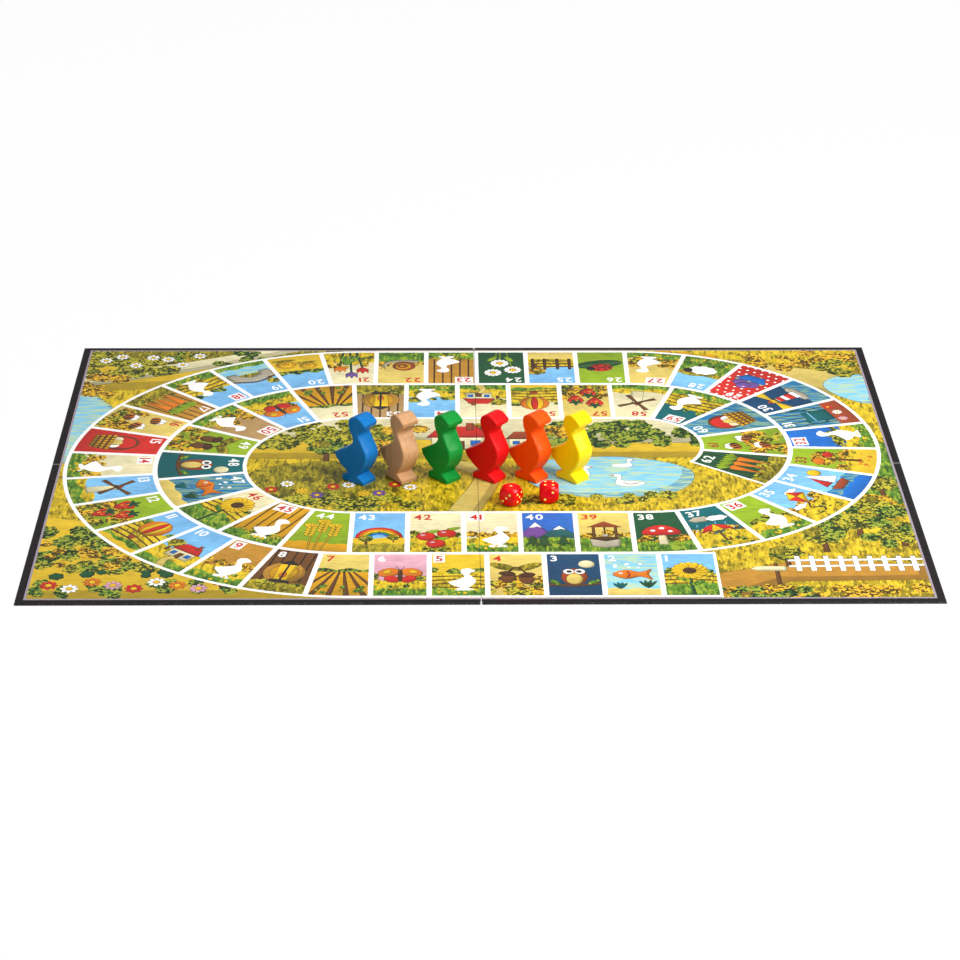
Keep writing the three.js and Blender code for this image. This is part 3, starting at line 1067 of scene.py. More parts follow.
        *(mark for x, y, r in ((-7, -9, 6), (8, -14, 7)) for mark in (
            disc(x, y, r, GOLD), disc(x, y, r * 0.66, SUN), disc(x, y, r * 0.33, GOLD),
            Oval(x, y - r, r * 1.2, 1.2, OLIVE),
        )),
    )),
    "peaks": Motif(BLUE, (
        Shape(((-20, -8), (-8, 14), (4, -8)), LILAC),
        Shape(((-12, 6.6), (-8, 14), (-4, 6.6), (-7, 8.4), (-9, 7)), WHITE),
        Shape(((-6, -8), (7, 9), (20, -8)), TEAL),
        Shape(((3, 3.6), (7, 9), (11, 3.6), (8, 5), (6, 3.8)), WHITE),
        Band(-8, LEAF, 1, 3), fir(-10, -18, 6), fir(-3, -20, 7), fir(9, -18, 6),
    )),
    "bees": Motif(SAND, tuple(
        mark for x, y, tilt in ((-6, 7, 20), (6, -2, -15), (-5, -13, 10)) for mark in (
            Oval(x - 2, y + 4, 3.6, 2, WHITE, tilt + 60), Oval(x + 2.4, y + 4, 3.6, 2, WHITE, tilt + 100),
            Oval(x, y, 5.4, 3.4, ORANGE, tilt),
            *(Oval(x + d, y + d * math.tan(math.radians(tilt)), 0.8, 3.1, BLACK, tilt) for d in (-2, 1, 3.6)),
        )), BRICK, scene=LEAVES),
    "rain": Motif(TEAL, (
        Oval(-5, 13, 7, 3.6, STONE, 0, 6), Oval(6, 12, 7, 3.4, WHITE, 0, 6),
        *(Stroke(((x, y), (x - 1, y - 3)), 0.7, 0.4, SKY)
          for x, y in ((-10, 6), (-4, 4), (3, 7), (9, 5), (12, -2), (-13, -1))),
        Shape(((-11, -6), (-7, 1), (0, 4), (7, 1), (11, -6), (5.5, -4), (0, -6), (-5.5, -4)), RED),
        Shape(((-4, -5), (0, 4), (4, -5), (0, -6)), SUN),
        Stroke(((0, -5), (0, -18), (3, -19), (3, -16)), 1, 1, BARK),
    ), scene=FIELD),
    "strawberries": Motif(LIME, tuple(
        mark for x, y, r in ((-6, 3, 6), (7, -2, 5.6), (-2, -14, 5.6)) for mark in (
            Shape(((x - r, y + 2), (x, y + r * 0.8), (x + r, y + 2), (x, y - r * 1.4)), RED, True),
            Petals(x, y + r * 0.8, 5, 2.4, 2.6, 1, FOREST),
            Scatter((x - 3, y - 4), (x + 3, y + 2), 7, 0.45, SUN, 8),
        )), scene=LEAVES),
    "autumn": Motif(LIME, (
        Band(-13, HAY, 1, 3), Stroke(((0, -18), (0, 2)), 3, 1.8, BARK),
        Stroke(((0, -4), (6, 4)), 1.4, 0.8, BARK), Oval(0, 7, 11, 9, AUTUMN, 0, 9),
        Oval(-5, 10, 5, 4, ORANGE, 0, 6), Oval(6, 5, 4, 3.4, RED, 0, 6),
        Scatter((-12, -24), (12, -14), 9, 1.1, ORANGE, 2),
    ), BRICK, scene=FIELD),
    "lantern": Motif(BARK, (
        Oval(0, -2, 13, 14, OCHRE), Oval(0, -2, 9, 10, GOLD),
        Stroke(((-4, 10), (0, 14), (4, 10)), 1, 1, BLACK), taper(0, 9, 12, 6, 4, BLACK),
        taper(0, 9, -12, 5.4, 4.4, SUN), Oval(0, -5, 2, 4, ORANGE), bar((0, 9), (0, -12), 0.8, BLACK),
        taper(0, -12, -15, 6, 6, BLACK),
    ), scene=PLANKS),
    "plums": Motif(RED, (
        *(disc(x + 3 * (j % 2), y, 1.0, WHITE)
          for x in range(-21, 22, 6) for j, y in enumerate(range(-27, 28, 6))),
        Oval(0, -6, 12, 5, STONE), disc(-5, -1, 5, LILAC), disc(5, -1, 5, LILAC), disc(0, 3, 5, LILAC),
        Oval(-1.6, 5, 1.3, 1, ROSE), taper(0, -6, -15, 12, 7, BLUE),
    )),
    "acorn": Motif(SAND, (
        leaf(0, 6, 18, 150, OLIVE), leaf(0, 6, 18, 30, OLIVE),
        Oval(-5, -4, 4.4, 7, BARK, -10), Oval(6, -6, 4.4, 7, BARK, 12),
        Oval(-5.6, 1.4, 5, 3, UMBER, -10), Oval(6.6, -0.6, 5, 3, UMBER, 12),
        Stroke(((-5, 3), (0, 10), (7, 1)), 0.9, 0.9, UMBER),
    ), scene=LEAVES),
    "gate": Motif(SKY, (
        Band(0, MEADOW, 1, 2), Band(-16, SAND), *tree(11, -6, 9, AUTUMN),
        *(bar((-15, y), (15, y), 1.4, BARK) for y in (-2, -7, -12)),
        *(Stroke(((x, -16), (x, 3)), 1.8, 1.6, UMBER) for x in (-13, -4.5, 4.5, 13)),
    )),
}

# Other grounds: for a motif's second use, and for single cells
AGAIN: dict[Ink, Ink] = {
    SKY: CREAM, NIGHT: TEAL, SAND: LIME, OCHRE: HAY, BARK: TAN, LIME: SAND, ROSE: SKY, WATER: SEA,
}
GROUNDS: dict[int, Ink] = {7: SAND, 39: SAND, 44: LIME, 60: SEA, 62: FOREST}

# Grounds that take a red number
PALE: tuple[Ink, ...] = (CREAM, SAND, HAY)

# Cells that the game marks with a goose
GOOSE_CELLS: dict[int, tuple[Ink, Backdrop]] = {
    5: (HAY, STUBBLE), 9: (OCHRE, FIELD), 14: (CREAM, LEAVES), 18: (SKY, STUBBLE), 23: (OCHRE, PLANKS),
    27: (SAND, LEAVES), 32: (BLUE, FIELD), 36: (LIME, FIELD), 41: (CREAM, FIELD), 45: (GOLD, PLANKS),
    50: (TAN, LEAVES), 54: (SKY, FIELD), 59: (TEAL, STUBBLE),
}


# Corners outside the track
CORNERS: tuple[Mark, ...] = (
    # Back left: strips of field behind a hedge, and a brook
    Shape(((-275, 196), (0, 196), (0, 150), (-275, 120)), HAY),
    Shape(((-275, 196), (-60, 196), (-150, 172), (-275, 165)), OLIVE),
    Shape(((-275, 150), (-205, 172), (-150, 196), (-120, 196), (-190, 160), (-275, 128)), CREAM),
    Shape(((-275, 118), (-240, 70), (-262, 20), (-275, 8)), WATER, True),
    Scatter((-274, 150), (-215, 192), 26, 7, GREENERY, 11, 7),
    Scatter((-274, 112), (-246, 148), 10, 6, AUTUMN, 12, 7),
    Scatter((-215, 168), (-150, 190), 14, 4.5, HEDGE, 13, 6),
    *flower_row(-262, 176, 7, 11, 9, 2.3, 4.6, WHITE),
    # Back right: hay meadow with bales and a pond under trees
    Shape(((275, 196), (0, 196), (0, 150), (275, 110)), SAND),
    Shape(((275, 196), (80, 196), (170, 176), (275, 150)), MEADOW),
    Shape(((275, 146), (252, 144), (244, 128), (256, 108), (275, 100)), WATER, True),
    Scatter((180, 160), (272, 190), 22, 6.5, AUTUMN, 21, 7),
    Scatter((244, 150), (272, 172), 8, 7, GREENERY, 22, 7),
    *(Oval(x, y, 6, 4.6, GOLD) for x, y in ((150, 186), (168, 182), (136, 190))),
    # Front left: flower bed in front of a wall of leaves
    Shape(((-275, -196), (0, -196), (0, -150), (-275, -80)), HAY),
    Scatter((-274, -156), (-200, -92), 26, 7.5, GREENERY, 31, 7),
    Scatter((-274, -156), (-214, -96), 18, 7, HEDGE, 34, 7),
    Scatter((-272, -150), (-215, -110), 10, 5, AUTUMN, 33, 7),
    Scatter((-266, -164), (-190, -158), 7, 4, FOREST, 35, 6),
    Scatter((-272, -192), (-150, -172), 20, 4.5, HEDGE, 32, 6),
    *flower_row(-262, -176, 9, 13, -5, 2.1, 5.4, RED, WHITE, ORANGE, ROSE),
    # Front right: orchard on a slope with a fence, a path and a blank signpost
    Shape(((275, -196), (40, -196), (40, -120), (275, 20)), MEADOW),
    Shape(((275, 30), (275, -60), (245, -40), (250, 10)), LEAF, True),
    Shape(((275, -150), (205, -142), (150, -160), (100, -196), (150, -196), (190, -172), (275, -170)), OCHRE),
    *tree(262, -52, 15), *tree(255, -84, 17, AUTUMN), *tree(240, -112, 18),
    *tree(216, -132, 17), *tree(266, -124, 17), *tree(190, -152, 14),
    Scatter((205, -118), (273, -64), 18, 7, GREENERY, 41, 7),
    Scatter((214, -122), (273, -70), 12, 7, HEDGE, 44, 7),
    *(Stroke(((x, -158), (x, -138)), 3.4, 3.0, WHITE) for x in range(196, 276, 9)),
    *(bar((190, y), (276, y + 2), 2.2, WHITE) for y in (-144, -152)),
    Scatter((118, -193), (272, -180), 30, 5.2, AUTUMN, 42, 6),
    Scatter((120, -194), (200, -182), 14, 5, HEDGE, 43, 6),
    Stroke(((182, -176), (182, -148)), 2.4, 2.0, BARK),
    Shape(((170, -158), (188, -158), (188, -152), (170, -152), (166, -155)), CREAM),
)

# Meadow inside the track: cottages behind a path, a pond with geese and a flower bed
MEADOW_MARKS: tuple[Mark, ...] = (
    Shape(((-180, 80), (220, 80), (220, 26), (120, 34), (20, 24), (-80, 36), (-180, 22)), CREAM, True),
    Shape(((-180, 34), (-60, 42), (40, 26), (220, 38), (220, 10), (-180, 8)), HAY),
    Scatter((-150, 26), (-60, 66), 36, 8, GREENERY, 51, 7),
    Scatter((40, 30), (150, 66), 34, 8, HEDGE, 52, 7), Scatter((-60, 40), (60, 60), 22, 6, AUTUMN, 53, 7),
    *house(-12, 22, 36), *house(34, 26, 24, BRICK),
    Stroke(((-12, 22), (-22, 4), (6, -18), (-10, -76)), 7, 20, SAND),
    Shape(((40, 2), (96, 10), (140, -10), (128, -44), (70, -52), (34, -30)), WATER, True),
    Shape(((-140, -6), (-70, 4), (-44, -30), (-84, -60), (-150, -44)), OLIVE, True),
    *swimmer(66, -18, 10), *swimmer(98, -32, 11, -1), *swimmer(96, -4, 8),
    Scatter((28, -60), (130, -48), 18, 5, GREENERY, 54, 7),
    Scatter((-150, -70), (-40, -50), 30, 6, GREENERY, 55, 7),
    *flower_row(-134, -40, 10, 10, 9, 1.7, 4.4, RED, WHITE, SUN, LILAC),
    *tree(-100, 4, 17, HEDGE), *tree(-66, 12, 13, AUTUMN),
)


# Print: track


@dataclass(frozen=True)
class Cell:
    """One numbered field of the track: its outline, the paper round it and the frame of its picture."""

    number: int
    outline: Array
    gutter: Array
    centre: Array
    up: Array
    height: float

    def right(self) -> Array:
        """Returns the direction to the right of the picture."""
        return np.array((self.up[1], -self.up[0]))

    def to_board(self, points: Array) -> Array:
        """Moves picture millimetres, right and up, onto the board."""
        return self.centre + points[:, :1] * self.right() + points[:, 1:] * self.up


@dataclass
class Track:
    """Spiral of numbered cells: straight rows joined by half circles, each turn one row further in.

    The path starts in the front row, runs to the left end, and ends inside the third half turn.
    """

    cells: int = 62
    pitch: float = 59.0
    gutter: float = 3.2
    overlap: float = 0.2
    paper_rim: float = 0.6
    outer: float = 192.0
    near_end: float = 79.0
    far_end: float = 106.0
    start: float = 146.0
    last_sweep: float = 128.0
    step: float = 0.25

    def __post_init__(self) -> None:
        """Samples the middle line: distances along it, positions and headings, from the front right."""
        middle = self.outer - self.pitch / 2
        lift = self.pitch / 2
        runs = [
            self._row(-self.start, self.near_end, -middle, 0.0),
            self._turn(self.near_end, 0.0, middle, -90, 180),
            self._row(self.near_end, -self.far_end, middle, math.pi),
            self._turn(-self.far_end, lift, middle - lift, 90, 180),
            self._row(-self.far_end, self.near_end, -middle + self.pitch, 2 * math.pi),
            self._turn(self.near_end, 0.0, middle - self.pitch, 270, 180),
            self._row(self.near_end, -self.far_end, middle - self.pitch, 3 * math.pi),
            self._turn(-self.far_end, lift, middle - self.pitch - lift, 450, self.last_sweep),
        ]
        places, headings = (np.concatenate(parts) for parts in zip(*runs))
        self.lengths = np.concatenate([[0], np.cumsum(np.linalg.norm(np.diff(places, axis=0), axis=1))])
        self.places = places * (-1, 1)
        self.headings = math.pi - headings

    def _row(self, start: float, end: float, y: float, heading: float) -> tuple[Array, Array]:
        """Returns the positions and headings along a straight row at y."""
        x = np.linspace(start, end, max(2, int(abs(end - start) / self.step)))
        return np.column_stack([x, np.full_like(x, y)]), np.full_like(x, heading)

    def _turn(self, x: float, y: float, r: float, start: float, sweep: float) -> tuple[Array, Array]:
        """Returns the positions and headings along an arc about (x, y), with its angles in degrees."""
        angle = np.radians(np.linspace(start, start + sweep, int(r * math.radians(sweep) / self.step)))
        return np.column_stack([x + r * np.cos(angle), y + r * np.sin(angle)]), angle + math.pi / 2

    def _at(self, distance: float | Array) -> tuple[Array, float | Array]:
        """Returns the positions and headings at distances along the line."""
        places = [np.interp(distance, self.lengths, self.places[:, k]) for k in (0, 1)]
        return np.stack(places, -1), np.interp(distance, self.lengths, self.headings)

    def _ring(self, start: float, end: float, margin: float, reach: float) -> Array:
        """Goes round a stretch of the line.

        Args:
            start, end: distances along the line.
            margin: how far the two ends are drawn in.
            reach: distance of the two sides from the line.

        Returns:
            Closed outline, along the outer side and back along the inner one.
        """
        place, turn = self._at(np.linspace(start, end, SIDE_POINTS))
        ahead = np.column_stack([np.cos(turn), np.sin(turn)])
        inward = np.column_stack([ahead[:, 1], -ahead[:, 0]])
        shift = np.zeros((SIDE_POINTS, 1))
        shift[0], shift[-1] = margin, -margin
        outer, inner = (place + ahead * shift + inward * side for side in (-reach, reach))
        return np.vstack([outer, inner[::-1]])

    def lay(self) -> list[Cell]:
        """Divides the path evenly; each picture stands on the outer side of the track.

        Returns:
            The cells.
        """
        half, gap = self.pitch / 2, self.gutter / 2
        edges = np.linspace(0, self.lengths[-1], self.cells + 1)
        cells = []
        for start, end in zip(edges, edges[1:]):
            outline = self._ring(start, end, gap, half - gap)
            gutter = self._ring(start, end, -self.overlap, half + gap * self.paper_rim)
            centre, heading = self._at((start + end) / 2)
            up = np.array((math.sin(heading), -math.cos(heading)))
            cells.append(Cell(len(cells) + 1, outline, gutter, centre, up, self.pitch - self.gutter))
        return cells


# Print: canvas


@dataclass
class Canvas:
    """Shapes in the order they are printed; a later one covers an earlier one.

    A shape with a clip only shows inside that earlier shape. A fall (a, b, c) gives the level a x + b y + c
    of a point between the foot and the head of its shape, from 0 to 1.
    """

    polygons: list[Array] = field(default_factory=list)
    inks: list[Ink] = field(default_factory=list)
    clips: list[int] = field(default_factory=list)
    falls: list[Triple] = field(default_factory=list)

    def add(self, polygon: Array, tone: Ink, clip: int = NOWHERE, up: Array = UPRIGHT) -> int:
        """Prints one outline.

        Args:
            polygon: n by 2 millimetres on the board.
            tone: ink to fill it with.
            clip: number of the shape that bounds it.
            up: direction from the foot to the head of the shape.

        Returns:
            The shape's number.
        """
        polygon = anticlockwise(polygon)
        level = polygon @ up
        span = max(float(np.ptp(level)), LEAST_SPAN)
        self.polygons.append(polygon)
        self.inks.append(tone)
        self.clips.append(clip)
        self.falls.append((up[0] / span, up[1] / span, -float(level.min()) / span))
        return len(self.polygons) - 1

    def draw(self, mark: Mark, clip: int, cell: Cell | None = None) -> None:
        """Prints every outline of a mark, in a cell's picture or straight on the board.

        A drawn line goes under each one that is big enough, and a lit side over it: the outline moved up and
        to the left by a tenth of its size, in the full tone, on a shape in the shade tone.

        Args:
            mark: what to print.
            clip: number of the shape that bounds it.
            cell: cell whose picture it belongs to.
        """
        tone = mark.ink
        solid = not isinstance(mark, Band)
        up = cell.up if cell else UPRIGHT
        place = cell.to_board if cell else np.asarray
        for outline in mark.outlines():
            size = math.sqrt(abs(signed_area(outline)))
            if solid and size > LINE_FROM and tone.touch is not Touch.LEAFY:
                wide = inset(anticlockwise(outline), np.array([-LINE_WIDTH]))[0]
                self.add(place(wide), tone.line(), clip, up)
            body = self.add(place(outline), tone, clip, up)
            if solid and size > SHADE_FROM and tone.touch is not Touch.FLAT:
                self.inks[body] = tone.shade()
                self.add(place(outline + np.array(LIT_SHIFT) * size), tone, body, up)

    def partition(self, lines: Array) -> tuple[Array, Array, Array]:
        """Cuts the plane along every outline and guide line.

        Args:
            lines: k by 2 by 2 ends of guide lines.

        Returns:
            Vertices in millimetres, triangles, and the number of the topmost shape of each triangle.
        """
        total = len(self.polygons)
        sizes = np.array([len(polygon) for polygon in self.polygons])
        starts = np.concatenate([[0], np.cumsum(sizes)])
        points = np.vstack([*self.polygons, lines.reshape(-1, 2)])
        faces = [list(range(start, start + size)) for start, size in zip(starts, sizes)]
        ends = starts[-1] + np.arange(len(lines) * 2).reshape(-1, 2)
        corners = [Vector(point) for point in points.tolist()]
        cut = delaunay_2d_cdt(corners, ends.tolist(), faces, TRIANGLES_INSIDE, CUT_NEAR)
        vertices, triangles, owners = np.array([tuple(v) for v in cut[0]]), np.array(cut[2]), cut[5]
        counts = np.array([len(owner) for owner in owners])
        face = np.repeat(np.arange(len(owners)), counts)
        shape = np.fromiter((number for owner in owners for number in owner), np.int64, counts.sum())
        inside = np.ones(len(shape), bool)
        clip = np.append(self.clips, NOWHERE)
        bound = clip[shape]
        for _ in range(CLIP_DEPTH):
            inside &= np.isin(face * total + bound, face * total + shape) | (bound < 0)
            bound = clip[bound]
        top = np.full(len(owners), NOWHERE)
        np.maximum.at(top, face[inside], shape[inside])
        return vertices, triangles, top


class Digits:
    """Outlines of the plain figures, as triangles of one em in height."""

    weight = 0.022
    curve_steps = 3
    gap = 0.14
    sliver = 1e-5

    def __init__(self) -> None:
        """Sets each figure once in the built-in font and keeps its triangles."""
        self.shapes: dict[str, list[Array]] = {}
        self.widths: dict[str, float] = {}
        for figure in "0123456789":
            curve = bpy.data.curves.new("figure", "FONT")
            curve.body = figure
            curve.offset = self.weight
            curve.resolution_u = self.curve_steps
            holder = bpy.data.objects.new("figure", curve)
            bpy.context.scene.collection.objects.link(holder)
            bpy.context.view_layer.update()
            mesh = holder.to_mesh()
            mesh.calc_loop_triangles()
            places = np.array([vertex.co[:2] for vertex in mesh.vertices])
            corners = np.array([triangle.vertices[:] for triangle in mesh.loop_triangles])
            places -= places.min(0)
            width, height = np.ptp(places, axis=0)
            pieces = places[corners] / height
            self.shapes[figure] = [piece for piece in pieces if abs(signed_area(piece)) > self.sliver]
            self.widths[figure] = float(width / height)
            holder.to_mesh_clear()
            bpy.data.objects.remove(holder)
            bpy.data.curves.remove(curve)

    def lay(self, number: int, height: float) -> tuple[list[Array], float]:
        """Returns the triangles of a number of some height, set from x = 0, and its width."""
        triangles: list[Array] = []
        x = 0.0
        for figure in str(number):
            triangles += [triangle * height + (x, 0) for triangle in self.shapes[figure]]
            x += (self.widths[figure] + self.gap) * height
        return triangles, x - self.gap * height


@dataclass
class Artwork:
    """The print: four painted corners, a spiral track of numbered pictures and a meadow in the middle."""

    edge: float = 1.4
    figure_height: float = 7.6
    number_inset: float = 2.2
    tag_margin: float = 1.3
    stride: int = 11
    canvas: Canvas = field(default_factory=Canvas)

    def paint(self) -> Canvas:
        """Prints everything, with the motifs taken by a stride through their list.

        Returns:
            The canvas.
        """
        x, y = HALF_WIDTH - self.edge, HALF_DEPTH - self.edge
        self.canvas.add(rectangle(-HALF_WIDTH, -HALF_DEPTH, HALF_WIDTH, HALF_DEPTH), MARGIN)
        ground = self.canvas.add(rectangle(-x, -y, x, y), MEADOW)
        for mark in CORNERS:
            self.canvas.draw(mark, ground)
        track = Track()
        cells = track.lay()
        meadow = self._meadow(track)
        for mark in MEADOW_MARKS:
            self.canvas.draw(mark, meadow)
        for cell in cells:
            self.canvas.add(cell.gutter, PAPER)
        figures = Digits()
        motifs = list(MOTIFS.values())
        pick = 0
        for cell in cells:
            if cell.number in GOOSE_CELLS:
                self._picture(cell, self._goose(cell.number), figures)
                continue
            motif = motifs[pick * self.stride % len(motifs)]
            ground = AGAIN.get(motif.ground, motif.ground) if pick >= len(motifs) else motif.ground
            self._picture(cell, replace(motif, ground=GROUNDS.get(cell.number, ground)), figures)
            pick += 1
        return self.canvas

    def _picture(self, cell: Cell, motif: Motif, figures: Digits) -> None:
        """Prints a cell: its ground, scenery and motif, and its number in the upper left corner.

        Args:
            cell: where to print.
            motif: what to print.
            figures: outlines of the figures.
        """
        clip = self.canvas.add(cell.outline, motif.ground, NOWHERE, cell.up)
        for mark in (*motif.scene.marks(cell.number), *motif.marks):
            self.canvas.draw(mark, clip, cell)
        triangles, width = figures.lay(cell.number, self.figure_height)
        inner = cell.outline[SIDE_POINTS:]
        left = float(((inner - cell.centre) @ cell.right()).min())
        low = cell.height / 2 - self.figure_height - self.number_inset
        corner = np.array((left + self.number_inset, low))
        if motif.tag:
            margin = self.tag_margin
            far = corner + (width + margin, self.figure_height + margin)
            self.canvas.add(cell.to_board(rectangle(*(corner - margin), *far)), motif.tag, clip, cell.up)
        number = RED if motif.ground in PALE else motif.number
        for triangle in triangles:
            self.canvas.add(cell.to_board(triangle + corner), number, clip, cell.up)

    @staticmethod
    def _goose(number: int) -> Motif:
        """Draws a white goose on grass, as the game has always marked its lucky cells."""
        ground, scene = GOOSE_CELLS[number]
        size, low, shift = 0.62, -21.0, 7.75
        body = (Goose.silhouette() - (7, 0)) * size + (3 + size * shift, low)
        marks = (
            Band(low + 3, LEAF, 1.2, 4),
            Shape(body, WHITE),
            Scatter((-13, -26), (13, -19), 8, 1.0, SUN, number),
        )
        return Motif(ground, marks, RED, WHITE, scene)

    def _meadow(self, track: Track) -> int:
        """Prints the ground inside the track and returns its number."""
        inner, far = track.outer - 2 * track.pitch, 200
        turn = np.radians(np.linspace(-90, 90, 25))
        left = np.column_stack([-track.near_end - inner * np.cos(turn), inner * np.sin(turn)])
        return self.canvas.add(np.vstack([left, [(far, inner), (far, -inner)]]), MEADOW)


# Pieces


FRAME: dict = {}


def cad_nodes() -> dict[str, Piece]:
    """Returns the CAD nodes of the frame."""
    return FRAME["nodes"]


@dataclass
class Label:
    """Printed sheet of one half of the board, whole across the cross fold.

    Vertices in millimetres, triangles and the shape on top of each are the canvas's partition, and folds
    are its rows of vertices at the cross fold.
    """

    side: str
    sign: int
    canvas: Canvas
    vertices: Array
    triangles: Array
    top: Array
    folds: Array

    def build(self) -> Piece:
        """Takes this half's triangles out of the partition and thickens them.

        Returns:
            The sheet.
        """
        low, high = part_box(f"label_back_{self.side}")
        here = (self.top >= 0) & (self.vertices[self.triangles].mean(1)[:, 0] * self.sign > 0)
        mine = self.triangles[here]
        used, local = np.unique(mine, return_inverse=True)
        points, groups = slab(self.vertices[used] * MM, local.reshape(mine.shape), low.z, high.z, self.folds)
        piece = mesh_object(f"print_{self.side}", points, *groups, sharp=30)
        self._colour(piece, here)
        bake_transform(piece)
        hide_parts(f"label_back_{self.side}", f"label_front_{self.side}")
        return piece

    def _colour(self, piece: Piece, here: Array) -> None:
        """Writes the inks: the fall from head to foot is linear, so corner values carry it exactly.

        Args:
            piece: sheet whose first faces are the printed triangles.
            here: which triangles of the partition they are.
        """
        shapes, corners = self.top[here], self.vertices[self.triangles[here]]
        falls = np.array(self.canvas.falls)[shapes]
        level = np.clip((corners * falls[:, None, :2]).sum(-1) + falls[:, None, 2], 0, 1)[..., None]
        low, high, dark, light = (
            np.array([getattr(tone, name) for tone in self.canvas.inks])[shapes]
            for name in ("low", "high", "dark", "light")
        )
        colour = low[:, None] * (1 - level) + high[:, None] * level
        corner = np.tile(np.array((*MARGIN.high, 1.0)), (len(piece.data.loops), 1))
        corner[: colour.shape[0] * 3, :3] = colour.reshape(-1, 3)
        attribute(piece, "ink", "CORNER", corner)
        touch = np.array([tone.touch.value for tone in self.canvas.inks])[shapes]
        faces = len(piece.data.polygons)
        for name, values, rest in (
            ("dark", dark, np.ones((faces, 4))),
            ("light", light, np.ones((faces, 4))),
            ("touch", touch[:, :3], np.zeros((faces, 3))),
            ("wash", touch[:, 3:], np.zeros((faces, 3))),
        ):
            rest[: len(shapes), : values.shape[1]] = values
            attribute(piece, name, "FACE", rest)


@dataclass
class Wrap:
    """Black linen paper round one panel: a folded rim along its outer edges and the underside sheet."""

    name: str
    sign_x: int
    sign_y: int
    slit: bool
    flare: float = 2 * MM
    hold: float = 0.4 * MM
    on_cloth: float = WRAP * 1.01
    arm_on_cloth: float = WRAP * 1.5

    def build(self) -> Piece:
        """Sweeps the folded edge along the panel's outer sides and adds the sheet below.

        The section is a hook (d, z), d inwards from the edge, with both bends rounded. A point p of the path
        carries it to p + m d, with m the mitre of the two sides that meet there. Over the spine cloth the
        hook's lower arm lies on the cloth.

        Returns:
            The wrap.
        """
        low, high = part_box(f"cover_{self.name}")
        inner_x, outer_x = sorted((abs(low.x), abs(high.x)))
        inner_y, outer_y = sorted((abs(low.y), abs(high.y)))
        cloth = CLOTH_WIDTH / 2
        path = [(outer_x, inner_y, -1, 0), (outer_x, inner_y + CREASE, -1, 0), (outer_x, outer_y, -1, -1)]
        if self.slit:
            path += [(inner_x + NOTCH, outer_y, 1, -1), (inner_x, outer_y - NOTCH_DEPTH, 1, -1)]
            path += [(inner_x, y, 1, 0) for y in (inner_y + CREASE, inner_y)]
        else:
            path += [(x, outer_y, 0, -1) for x in (cloth + SLACK, cloth, inner_x + CREASE, inner_x)]
        section = self._section(high.z)
        rows = np.array(path, float)
        plan = rows[:, None, :2] + rows[:, None, 2:] * section[None, :, :1]
        level = np.repeat(section[None, :, 1], len(rows), axis=0)
        if not self.slit:
            plan[-1, :, 0] += NOTCH * np.clip(1 - section[:, 0] / self.flare, 0, 1)
            over = rows[:, 0] < cloth + SLACK / 2
            level[over] = np.maximum(level[over], self.on_cloth)
            level[over, -4:-2] = self.arm_on_cloth
        points = np.dstack([plan, level]).reshape(-1, 3)
        count = len(section)
        faces = grid_faces(len(rows), count, wrap=True)
        caps = np.stack([np.arange(count)[::-1], np.arange(count) + (len(rows) - 1) * count])
        sheet_x = inner_x + TURN_IN if self.slit else cloth
        sheet_plan = rectangle(sheet_x, inner_y, outer_x - TURN_IN, outer_y - TURN_IN)
        sheet, sheet_faces = slab(sheet_plan, np.array([[0, 1, 2, 3]]), low.z, low.z + WRAP)
        vertices = np.vstack([points, sheet]) * (self.sign_x, self.sign_y, 1)
        groups = [faces, caps, *(group + len(points) for group in sheet_faces)]
        if self.sign_x * self.sign_y < 0:
            groups = [group[:, ::-1] for group in groups]
        piece = mesh_object(f"wrap_{self.name}", vertices, *groups, sharp=35)
        edge = np.tile(section[:, 0] < WRAP_ROUND * 1.2, (len(rows), 1))
        crease = np.zeros((len(rows), count))
        crease[[0, -1]] = 1
        for name, values in (("edge", edge), ("crease", crease)):
            attribute(piece, name, "POINT", np.concatenate([values.ravel(), np.zeros(len(sheet))]))
        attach(piece, f"{self.name}_panel")
        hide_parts(f"cover_{self.name}")
        return piece

    def _section(self, top: float) -> Array:
        """Traces the folded edge (d, z) from the strip turned in at the face to the underside."""
        r, hold = WRAP_ROUND, WRAP_ROUND + self.hold
        upper = np.column_stack([r - r * np.sin(QUARTER), top - r + r * np.cos(QUARTER)])
        lower = np.column_stack([r - r * np.cos(QUARTER), r - r * np.sin(QUARTER)])
        outside = np.vstack([[(TURN_IN, top), (hold, top)], upper, lower, [(hold, 0), (TURN_IN, 0)]])
        inside = [(TURN_IN, WRAP), (WRAP, WRAP), (WRAP, top - WRAP), (TURN_IN, top - WRAP)]
        return np.vstack([outside, inside])


